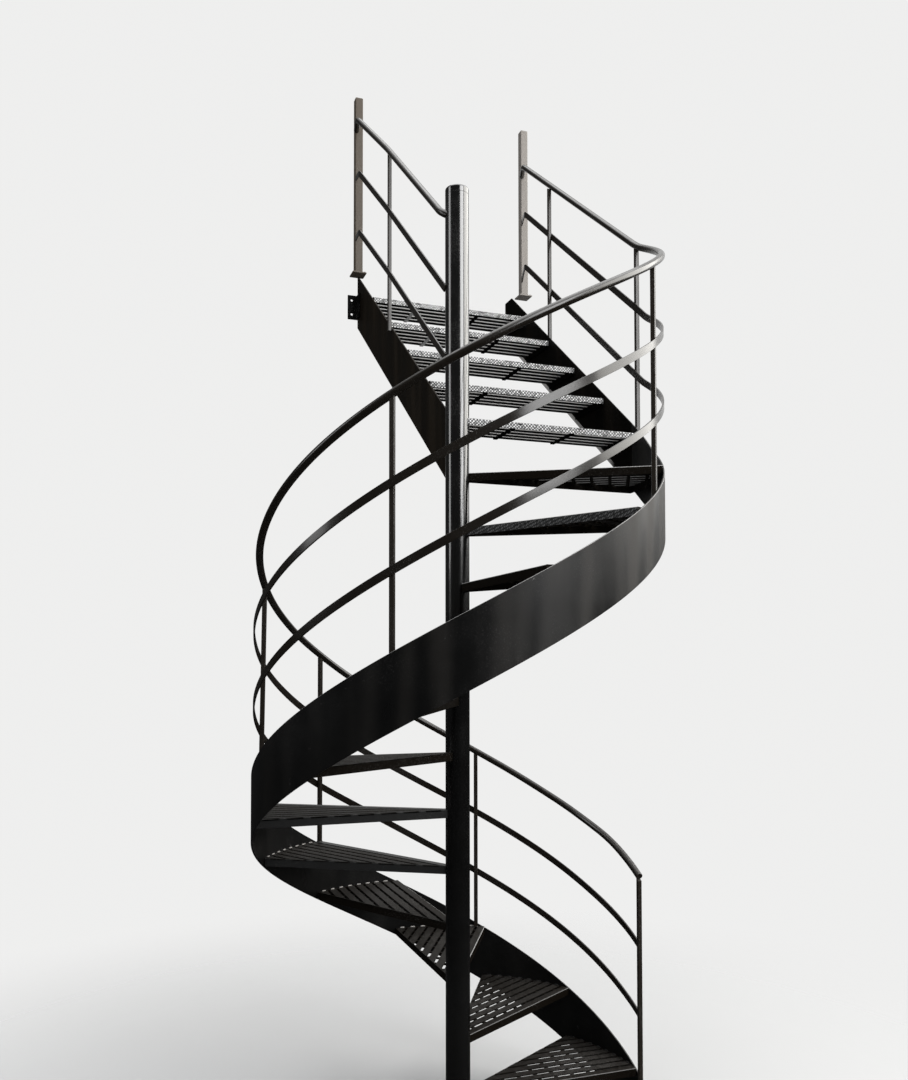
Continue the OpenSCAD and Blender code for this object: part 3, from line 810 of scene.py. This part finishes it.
def layered(*layers):
    """One skin of several layers, and for each face the number of its finish.

    A layer is a part and its number, and a (way, number) for each way whose faces have another."""
    picks = []
    for part, number, *others in layers:
        pick = np.full(len(part[1]), number)
        for way, other, *least in others:
            pick[looking(part, way, *least)] = other
        picks.append(pick)
    return joined([layer[0] for layer in layers]), np.concatenate(picks)


print(looking(front, FRONT).sum(), "faces of a winder's front look forwards")

# %% Twelve winders
KNURLED_WINDER = 11
# On these winders the painted highlight along the nosing's top edge is dimmer.
DIM_HIGHLIGHT_WINDERS = (1, 2)
PALE_FRONTS = (5, 6)
RIM_ZONE = 0.7
# Finish 0 is on the bars, 1 on the frame and the front, and 2 on the nosing's top edge, a painted
# highlight that is dimmer on the two lowest winders. On the last two winders, finish 3 is on the
# knurled front, and on the bars' front edges, where it is a dim painted highlight.
edge_line = (UP_FRONT, 2, 0.9)
whole, pick = layered((grating, 0), (frame_part, 1), (front, 1, edge_line))
_, knurled_pick = layered((grating, 0), (frame_part, 1), (front, 1, edge_line, (FRONT, 3, 0.99)))
_, last_pick = layered((grating, 0, (FRONT, 3)), (frame_part, 1), (front, 1, edge_line))
special = {KNURLED_WINDER: (knurled_pick, worn_grip_paint), WINDERS: (last_pick, dim_highlight_line_paint)}
for number in range(1, WINDERS + 1):
    picked, *fourth = special.get(number, (pick,))
    finishes = [tread_paint, pale_front_paint if number in PALE_FRONTS else front_paint,
                dim_highlight_line_paint if number in DIM_HIGHLIGHT_WINDERS else highlight_line_paint, *fourth]
    start = (number - 1) * TURN
    points, faces = placed(whole, start)
    radius = np.linalg.norm(points[:, :2], axis=1)
    points[:, 2] += winder_top(number, radius)
    around = start + np.degrees(np.arctan2(whole[0][:, 1], whole[0][:, 0]))
    # Near the rim nothing hangs below the helical plate's lower edge.
    at_rim = radius > RIM_ZONE
    plate_bottom = spiral_height(around[at_rim]) - DROP - DEPTH
    points[at_rim, 2] = np.maximum(points[at_rim, 2], plate_bottom + GAP)
    piece("winder_%02d" % number, (points, faces), finishes, ["tread_%02d" % number], picked)

# %% [markdown]
# ## Straight steps
#
# The five upper steps are the same grating with parallel bars. Seen from below, their bars show
# as thin pale lines where light catches the front edge of each bar, and the nosing's front is a
# knurled grip strip. Each face's finish is chosen by where it looks: faces of a bar that look
# forwards take a painted highlight, and the nosing's front face takes the grip. Under the top two
# steps one strap takes the same painted highlight, and the other straps and the side bars take a
# darker paint, which is painted shade.

# %% Straight steps
STEP_BARS = 5
LIP = 0.024
STEP_OUT = INNER_R - 0.0004
STRAPS = {13: (0.239, 0.492), 14: (0.232, 0.498), 15: (0.232, 0.5), 16: (0.184, 0.5), 17: (0.184, 0.5)}
STRAP_W = 0.016
STRAP_T = 0.005
# Under these steps the first strap takes the bars' painted highlight.
LIT_STRAPS = (16, 17)
# X of the inner plate's side where y is 0, and how much it changes with each metre of y.
INNER_PLATE = (-0.0288, -0.0201)
# Step paint, a painted highlight on the bars' front edges, the grip, and a darker paint for straps and side
# bars, which is painted shade.
STEP_FINISHES = [step_paint, edge_highlight_paint, grip_paint, shaded_strap_paint]
depth = NOSING_W + STEP_BARS * PITCH


def step_ends(front_y, number):
    """Functions of the distance behind the nosing that give a step bar's left and right end."""
    def left(y):
        spot = y + front_y
        beside = INNER_PLATE[0] + INNER_PLATE[1] * spot
        if number > WINDERS + 1:
            return beside
        in_front = np.sqrt(np.clip(CUT_R ** 2 - spot ** 2, 0, None))
        return np.where(spot < COLUMN_R + 0.003, in_front, beside)

    def right(y):
        spot = np.minimum(y + front_y, 0)
        return np.minimum(np.sqrt(SEAT_R ** 2 - spot ** 2), STEP_OUT)

    return left, right


for number in range(WINDERS + 1, WINDERS + STEPS + 1):
    front_y = (number - WINDERS - 1) * GOING - LEAD
    left, right = step_ends(front_y, number)
    slats = joined([bar(y, y + BAR_W, -BAR_T, 0, left, right)
                    for y in NOSING_W + SLOT + PITCH * np.arange(STEP_BARS)])
    below = [(bar(0.0, depth, -BAR_T - STRAP_T, -BAR_T + 0.0004, x - STRAP_W / 2, x + STRAP_W / 2), finish)
             for x, finish in zip(STRAPS[number], (1 if number in LIT_STRAPS else 3, 3))]
    below.append((bar(0.02, depth, -FRAME_H, -0.0003, lambda y: right(y) - FRAME_T, right), 3))
    if number > WINDERS + 1:
        below.append((bar(0.0, depth, -FRAME_H, -0.0003, left, lambda y: left(y) + FRAME_T), 3))
    nosing = joined([bar(0.0001, NOSING_W, -BAR_T, 0, left, right, NOSING_EDGE),
                     bar(0, FRAME_T, -LIP, -0.001, left, right, 0.0015)])
    whole, pick = layered((slats, 0, (FRONT, 1)), *below, (nosing, 0, (FRONT, 2)))
    piece("flight_step_%02d" % number, placed(whole, 0, (0, front_y, number * RISER)), STEP_FINISHES,
          ["step_%02d" % number], pick)

# %% [markdown]
# ## Rails
#
# The handrail is a bent tube and the two rails below it are flat bar, bent on edge. All three
# climb the spiral, follow the flight, splay outwards a little, and level out just before the top
# posts. A rail is a section carried along one smooth path. The path's corners are rounded by
# adding, for each corner, a ramp that starts softly: (t + root of t^2 + size^2) / 2.
#
# Steel that is bent by hand doesn't keep to a formula. On the lower half of the turn the rails
# sag and rise again between the uprights, so each rail gets a table of how far it lies off the
# even spiral, and the upright that it is welded to leans with it. The real rails wander further
# than this: the table stops at half a rail's width, so that each rail still lies on the exact one.

# %% Rail tables
TUBE_R = 0.01335
RAIL_R = 0.73035
FLAT_R = 0.7413
UPRIGHT_OUT = 0.7532
SWING = (316, 352)
SWING_SOFT = 6.0
SPIRAL_END = 359.6
PATH_STEP = 1.5
FLAT_T = 0.006
FLAT_W = 0.026
BEND_OUT = 1.07
BEND_IN = 1.08
INNER_UPRIGHT_Y = 0.691
TURN_IN_REACH = 0.035
# For each outer rail: its radius before and after the swing, its first angle, its X at bend and post.
OUTER_RAILS = {"hand": (RAIL_R, UPRIGHT_OUT, -3.7, 0.768, 0.813),
               "upper": (FLAT_R, FLAT_R, -2.9, 0.7743, 0.812)}
OUTER_RAILS["lower"] = OUTER_RAILS["upper"]
# For each inner rail: its X at column, upright, bend and post, and how far its end turns in.
INNER_RAILS = {"hand": (-0.0578, -0.0669, -0.102, -0.081, 0.022),
               "upper": (-0.04745, -0.0685, -0.094, -0.082, 0)}
INNER_RAILS["lower"] = INNER_RAILS["upper"]
# Heights above the nosings: on the spiral, on the flight, and what the rail still climbs after its bend.
HEIGHTS = {"hand": (0.760, 0.741, 0.017), "upper": (0.492, 0.497, 0.010), "lower": (0.232, 0.228, -0.023)}
# How far an inner rail lies above the outer one at the column, the bend and the post.
INNER_SHIFTS = {"hand": (-0.005, 0.078, 0.087), "upper": (-0.039, 0.060, 0.090),
                "lower": (-0.028, 0.042, 0.059)}
# How far the rails wander, in mm, upwards and outwards, at angles on the spiral.
OFF_ANGLES = [-4, 0, 4, 12, 22, 40, 62, 80, 105, 122, 140, 152, 165, 185, 215]
OFF_RISE = {"hand": [13, 13, 13, 13, 0, -11, -13, -10, 2, 13, 13, 13, 12, 4, 0],
            "upper": [5, 2, -4, -8, -13, -13, -13, -13, -8, 10, 13, 13, 12, 4, 0],
            "lower": [0, -4, -13, -13, -13, -13, -13, -10, 0, 0, 4, 4, 2, 0, 0]}
OFF_OUT = {"hand": [0, 0, 0, 0, 0, 0, 0, 0, 0, 0, -10, -12, -12, -9, 0],
           "upper": [-7, -4, 0, 0, 0, 0, 0, 0, 0, 0, -4, -5, -5, -4, 0]}
OFF_OUT["lower"] = OFF_OUT["upper"]
print("rails wander by up to", max(map(max, OFF_RISE.values())), "mm")


# %% Rail paths
def kinked(y, knots, values, size=0.012):
    """A line through knots with rounded corners: the first slope, plus a soft ramp at each change of it."""
    slopes = np.diff(values) / np.diff(knots)
    line = values[0] + slopes[0] * (y - knots[0])
    for knot, change in zip(knots[1:-1], np.diff(slopes)):
        t = y - knot
        line = line + change * (t + np.sqrt(t ** 2 + size ** 2)) / 2
    return line


def off_formula(table, rail, angle):
    """How far a rail lies off the spiral, in metres: a line through the table, averaged over 8 degrees."""
    around = np.linspace(-4, 4, 9)
    return np.interp(np.add.outer(angle, around), OFF_ANGLES, table[rail]).mean(-1) / 1000


def stations(first, bend, count):
    """Distances along the flight: wide apart up to just before the bend, and close from there to the post."""
    return np.concatenate([np.linspace(first, bend - 0.06, count), np.linspace(bend - 0.05, POST_FRONT, 24)])


def outer_path(rail):
    """Path of an outer rail: the spiral, whose radius swings from the first to the last, then the flight."""
    on_spiral, on_flight, leg = HEIGHTS[rail]
    first_r, last_r, start, bend_x, end_x = OUTER_RAILS[rail]
    angle = np.arange(start, SPIRAL_END, PATH_STEP)
    swung = kinked(angle, [start, *SWING, 400], [first_r, first_r, last_r, last_r], SWING_SOFT)
    turn_part = round_turn(angle, swung + off_formula(OFF_OUT, rail, angle))
    turn_part[:, 2] = bent_height(angle, on_spiral, on_flight) + off_formula(OFF_RISE, rail, angle)
    y = stations(0.004, BEND_OUT, 36)
    top_z = flight_height(BEND_OUT) + on_flight
    z = kinked(y, [0, BEND_OUT, POST_FRONT], [flight_height(0) + on_flight, top_z, top_z + leg])
    x = kinked(y, [0, BEND_OUT, POST_FRONT], [last_r, bend_x, end_x])
    return np.concatenate([turn_part, np.stack([x, y, z], 1)])


def inner_path(rail):
    """Path of an inner rail along the flight, whose lowest end may turn in to the column by a soft ramp."""
    *xs, turned_in = INNER_RAILS[rail]
    start, bend, end = (HEIGHTS[rail][1] + shift for shift in INNER_SHIFTS[rail])
    y = stations(0, BEND_IN, 90)
    top_z = flight_height(BEND_IN)
    z = kinked(y, [0, BEND_IN, POST_FRONT], [flight_height(0) + start, top_z + bend, top_z + end])
    x = kinked(y, [0, INNER_UPRIGHT_Y, BEND_IN, POST_FRONT], xs)
    return np.stack([x + turned_in * np.clip(1 - y / TURN_IN_REACH, 0, 1) ** 2, y, z], 1)


print("the handrail's path has", len(outer_path("hand")), "stations")

# %% Outer and inner rails
RAIL_NAMES = {"hand": ("handrail_tube", "handrail"), "upper": ("upper_flat_bar", "upper_rail"),
              "lower": ("lower_flat_bar", "lower_rail")}
round_section = circle(TUBE_R, 24)
flat_section = rounded(-FLAT_T / 2, FLAT_T / 2, -FLAT_W / 2, FLAT_W / 2, 0.0012)
for side, path_of in (("", outer_path), ("inner_", inner_path)):
    for rail, (name, node) in RAIL_NAMES.items():
        section = round_section if rail == "hand" else flat_section
        piece(side + name, carried(section, path_of(rail)), [rail_paint], [side + node])

# %% [markdown]
# ## Uprights and posts
#
# The uprights are square tube with round corners, cut off at the slope of the rail above, so
# their skin is a rounded square whose top ring is tilted. The top posts are wider tube on screwed
# foot plates, with a plastic cap pressed into the top.

# %% Uprights on the turn
UPRIGHT_W = 0.016
UPRIGHT_CORNER = 0.0022
UPRIGHTS_AT = [(63, 3), (121, 5), (158, 6), (234, 8), (313.3, 11)]
FIRST_TURN = -3.5
LAST_TURN = 358.4
LAST_SLOPE = 0.70
LAP = 0.045
INTO_RAIL = 0.001


def upright(low, high, slope, spot, turn, lean=0.0):
    """A rounded square column whose top ring rises by the slope times its distance along the path.

    It may lean, so that its top lies further out than its foot."""
    section = square(UPRIGHT_W, UPRIGHT_CORNER)
    heights = [low, low + 0.3 * (high - low), low + 0.7 * (high - low), high]
    grid = rings(section, [(1, height) for height in heights])
    grid[:, :, 0] += lean * (grid[:, :, 2] - low) / (high - low)
    grid[3, :, 2] += section[:, 1] * slope
    return placed(skin(grid), turn, spot)


def under_tube(turn):
    """Height of the handrail's underside at an angle on the spiral."""
    centre = bent_height(turn, *HEIGHTS["hand"][:2]) + off_formula(OFF_RISE, "hand", turn)
    return centre - TUBE_R * np.sqrt(1 + SPIRAL_SLOPE ** 2)


def turn_upright(low, angle):
    """An upright under the handrail at an angle on the spiral, leaning with it."""
    return upright(low, under_tube(angle) + INTO_RAIL, SPIRAL_SLOPE, round_turn(angle, RAIL_R), angle,
                   off_formula(OFF_OUT, "hand", angle))


parts = [turn_upright(winder_top(tread, RAIL_R) + 0.0002, angle) for angle, tread in UPRIGHTS_AT]
plate_edge = bent_height(LAST_TURN, -DROP, LIFT)
parts.append(upright(plate_edge - LAP, under_tube(LAST_TURN), LAST_SLOPE, round_turn(LAST_TURN, UPRIGHT_OUT),
                     LAST_TURN))
piece("turn_uprights", joined(parts), [upright_paint], ["spiral_uprights"])
piece("foot_upright", turn_upright(0.0, FIRST_TURN), [upright_paint], ["end_post"])

# %% Uprights on the flight
OUTER_UPRIGHT_Y = 0.748
INNER_UPRIGHT_X = -0.05708
INNER_PLATE_TOP = -0.008
INNER_LAP = 0.018


def flight_upright(side, x, y, plate_top, rail_rise, lap):
    """An upright from its lap beside the plate to the rail's underside, with its top along the slope."""
    low = flight_height(y) + plate_top - lap
    high = flight_height(y) + rail_rise - TUBE_R * np.sqrt(1 + FLIGHT_SLOPE ** 2) + INTO_RAIL
    piece(side + "_side_upright", upright(low, high, FLIGHT_SLOPE, (x, y, 0), 0), [upright_paint],
          [side + "_flight_upright"])


rise = HEIGHTS["hand"][1]
flight_upright("outer", UPRIGHT_OUT, OUTER_UPRIGHT_Y, LIFT, rise, LAP)
at_column, at_bend, _ = INNER_SHIFTS["hand"]
inner_rise = rise + at_column + (at_bend - at_column) * INNER_UPRIGHT_Y / BEND_IN
flight_upright("inner", INNER_UPRIGHT_X, INNER_UPRIGHT_Y, INNER_PLATE_TOP, inner_rise, INNER_LAP)

# %% Top posts
POST_W = 0.038
POST_CORNER = 0.003
POST_H = 0.885
POST_Y = 1.205
POST_FOOT_Z = 3.69
FOOT_W = 0.07
FOOT_T = 0.006
SCREW_PITCH = 0.052
SCREW = [(0.0052, -0.001), (0.0068, 0.0), (0.0066, 0.002), (0.004, 0.0036), (0.0008, 0.004)]


def top_post(side, x, finish):
    """A square tube with a cap, on a plate with four screws."""
    tube_section = square(POST_W, POST_CORNER, 4)
    tube = rings(tube_section, [(1, 0.0002), (1, 0.3), (1, 0.6), (1, POST_H - 0.012)])
    cap = rings(tube_section, [(0.985, POST_H - 0.0118), (1, POST_H - 0.0105), (1, POST_H - 0.004),
                               (0.93, POST_H - 0.001), (0.5, POST_H - 0.0002), (0.1, POST_H)])
    foot = rings(square(FOOT_W, POST_CORNER, 4),
                 [(0.985, 0), (1, 0.001), (1, FOOT_T - 0.001), (0.975, FOOT_T)])
    screws = [turned([(r, FOOT_T + z) for r, z in SCREW], 16, (i * SCREW_PITCH / 2, j * SCREW_PITCH / 2, 0))
              for i in (-1, 1) for j in (-1, 1)]
    whole = joined([skin(tube), skin(cap), skin(foot), *screws])
    piece(side + "_post_tube", placed(whole, 0, (x, POST_Y, POST_FOOT_Z)), [finish], [side + "_top_post"])


top_post("outer", 0.828, post_paint)
# The inner post wears a darker, browner copy of the outer post's paint: painted shade.
top_post("inner", -0.066, shaded_post_paint)

# %% [markdown]
# ## Welds and bolts
#
# What holds a welded stair together shows as low, rippled beads: round the column under every
# tread and at its foot and cap, along the helical plate, and at the foot of each upright that stands
# on a tread. A bead is a small round section carried along the joint and half sunk into it. Its size
# swells and sinks every few millimetres, as a welder's hand does. Anchors with washers and nuts hold
# the base plate and the foot.

# %% Tread welds
def bead(path, radius, ripple=0.005):
    """A round bead along a path, whose size is 1 plus two small sines of the distance along it."""
    run = np.concatenate([[0], np.cumsum(np.linalg.norm(np.diff(path, axis=0), axis=1))])
    swell = 1 + 0.16 * np.sin(2 * np.pi * run / ripple) + 0.1 * np.sin(2 * np.pi * run / (ripple * 7.3))
    swell[[0, -1]] = 0.4
    return carried(circle(radius, 7), path, swell)


RING_BEAD = 0.0026
STITCH_BEAD = 0.0028
STITCH_TURN = 0.75
PALE_STITCHES = (3, 4, 5, 6)
beads = []
stitches = {True: [], False: []}
for number in range(1, WINDERS + 1):
    start = (number - 1) * TURN
    z, rim_z = winder_top(number), winder_top(number, SEAT_R)
    ring = round_turn(np.arange(start + 3, start + 33, 2.2), COLUMN_R + 0.0008)
    beads.append(bead(ring + (0, 0, z - BAR_T - 0.0015), RING_BEAD))
    for behind in np.arange(NOSING_W + SLOT + BAR_W / 2, BACK_Y - 0.01, PITCH):
        middle = start + np.degrees(np.arcsin(behind / SEAT_R))
        stitch = round_turn(np.linspace(middle - STITCH_TURN, middle + STITCH_TURN, 12), SEAT_R - 0.0015)
        stitches[number in PALE_STITCHES].append(bead(stitch + (0, 0, rim_z + 0.0006), STITCH_BEAD))
piece("tread_welds", joined(beads), [weld_paint])
piece("pale_stitch_welds", joined(stitches[True]), [stitch_paint])
piece("stitch_welds", joined(stitches[False]), [weld_paint])

# %% Upright and column welds
FOOT_BEAD = 0.0018
COLLAR_BEAD = 0.0045
SEAM_BEAD = 0.0019
corners = square(UPRIGHT_W, 0.002, 4)
loop = np.concatenate([corners, corners[:1]])
fine_loop = np.stack([np.interp(np.linspace(0, len(loop) - 1, 64), np.arange(len(loop)), loop[:, k])
                      for k in (0, 1)] + [np.zeros(64)], 1)
feet = [placed(bead(fine_loop, FOOT_BEAD, 0.004), angle,
               round_turn(angle, RAIL_R) + (0, 0, winder_top(tread, RAIL_R) + 0.001))
        for angle, tread in UPRIGHTS_AT]
piece("upright_welds", joined(feet), [weld_paint])

collar = round_turn(np.arange(0, 360.1, 2.0), COLUMN_R + 0.001) + (0, 0, BASE_T + 0.0015)
cap_seam = round_turn(np.arange(0, 360.1, 3.0), COLUMN_R - 0.0018) + (0, 0, CAP_BASE)
piece("column_welds", joined([bead(collar, COLLAR_BEAD, 0.008), bead(cap_seam, SEAM_BEAD, 0.006)]),
      [weld_paint])

# %% Anchors
BASE_BOLT = 0.012
FOOT_BOLT = 0.010
BASE_HOLE = 0.075
FOOT_SPOT = (0.70435, 0.04116, 0.008)
FOOT_HOLE = 0.04
# Profiles of radius and height, in bolt diameters, and their sides.
ANCHOR = [([(0.5, 0), (1.12, 0), (1.12, 0.18), (0.5, 0.2)], 28),
          ([(0.6, 0.2), (0.92, 0.22), (0.92, 0.9), (0.8, 1.0), (0.5, 1.0)], 6),
          ([(0.48, 0.2), (0.48, 1.35), (0.4, 1.45), (0.05, 1.45)], 18)]


def anchor(x, y, z, size):
    """A washer, a six-sided nut and a stud's end, scaled by the bolt's diameter and standing on z."""
    return joined([turned(np.array(profile) * size, sides, (x, y, z)) for profile, sides in ANCHOR])


anchors = [anchor(x, y, BASE_T, BASE_BOLT) for x in (-BASE_HOLE, BASE_HOLE) for y in (-BASE_HOLE, BASE_HOLE)]
foot_x, foot_y, foot_z = FOOT_SPOT
anchors += [anchor(foot_x, foot_y + side * FOOT_HOLE, foot_z, FOOT_BOLT) for side in (-1, 1)]
piece("anchor_bolts", joined(anchors), [bolt_paint])

# %% [markdown]
# ## Floor, light and background
#
# Gloss black paint is a mirror in the dark: it shows its surroundings more than its own colour.
# So the light is large and soft, with a tall panel on the right whose reflection draws the bright
# band down the column, and a narrow one on the left for the thin line opposite. The floor fades
# out with distance, so that no horizon shows.

# %% Floor
FLOOR = 0.6
FLOOR_IN_PAINT = 0.015
FLOOR_FADE = (1.0, 3.6)
FLOOR_REACH = 14


def floor_material():
    """A matt pale floor that turns see-through with the distance, and that gloss paint mirrors only dimly."""
    made, tree, shader = new_material("pale floor")
    place = add_node(tree, "TexCoord").outputs["Object"]
    distance = feed(add_node(tree, "VectorMath", operation="LENGTH"), place)["Value"]
    glossy = add_node(tree, "LightPath").outputs["Is Glossy Ray"]
    feed(shader, Base_Color=mixed(glossy, grey(FLOOR), grey(FLOOR_IN_PAINT)), Roughness=0.9,
         Specular_IOR_Level=0.1, Alpha=band(distance, *FLOOR_FADE, 0.0, 1.0))
    return made


sheet = FLOOR_REACH * np.array([[-1.0, -1, 0], [1, -1, 0], [1, 1, 0], [-1, 1, 0]])
meshed("floor", sheet, [(0, 1, 2, 3)], [floor_material()])
print("floor fades out from", FLOOR_FADE[0], "to", FLOOR_FADE[1], "m")

# %% Background
PALE = (0.86, 0.86, 0.855, 1.0)
LAMP = (0.94, 0.97, 1.0, 1.0)
LAMP_LEVEL = 0.4
BRIGHT_SIDE = (0.985, 0.174, 0.0)
DARK = 0.012
DIM = 0.06
world = bpy.data.worlds.new("studio")
bpy.context.scene.world = world
world.use_nodes = True
tree = world.node_tree
which = add_node(tree, "LightPath").outputs
way = add_node(tree, "TexCoord").outputs["Generated"]
height = axes(way)["Z"]
beside = feed(add_node(tree, "VectorMath", operation="DOT_PRODUCT"), way, BRIGHT_SIDE)["Value"]
side_level = maths("MULTIPLY", band(beside, 0.05, 0.4), band(height, 0.05, 0.25, 1.0, DARK))
low_level = band(height, -0.2, 0.3, DIM, DARK)
level = maths("MAXIMUM", side_level, low_level, band(height, 0.6, 0.95))
lamp_light = feed(tree.nodes["Background"], Color=LAMP, Strength=LAMP_LEVEL)[0]
seen = feed(add_node(tree, "Background"), Color=PALE)[0]
mirrored = feed(add_node(tree, "Background"), Color=PALE, Strength=level)[0]
seen_by = maths("MAXIMUM", which["Is Camera Ray"], which["Is Transmission Ray"])
first = feed(add_node(tree, "MixShader"), which["Is Glossy Ray"], lamp_light, mirrored)[0]
second = feed(add_node(tree, "MixShader"), seen_by, first, seen)[0]
feed(tree.nodes["World Output"], second)
print("background has", len(tree.nodes), "nodes")

# %% Lights
TARGET = Vector((0, 0, 2.2))


def panel(name, spot, wide, tall, power, tint=(1, 1, 1)):
    """A rectangular area light at a spot, turned to the stair."""
    light = adjusted(bpy.data.lights.new(name, "AREA"), shape="RECTANGLE", size=wide, size_y=tall,
                     energy=power, color=tint)
    aimed(name, light, spot, TARGET - Vector(spot))


panel("top panel", (0.5, -0.5, 7.5), 6.0, 6.0, 220)
panel("right panel", (5.9, -1.04, 5.6), 6.5, 4.8, 420, (1.0, 0.98, 0.93))
panel("front panel", (2.4, -5.0, 5.0), 3.0, 4.0, 240)
panel("left strip", (-5.0, 0.6, 4.4), 1.6, 3.8, 50)
bpy.context.scene.view_settings.view_transform = "Standard"
print("four lights ready")
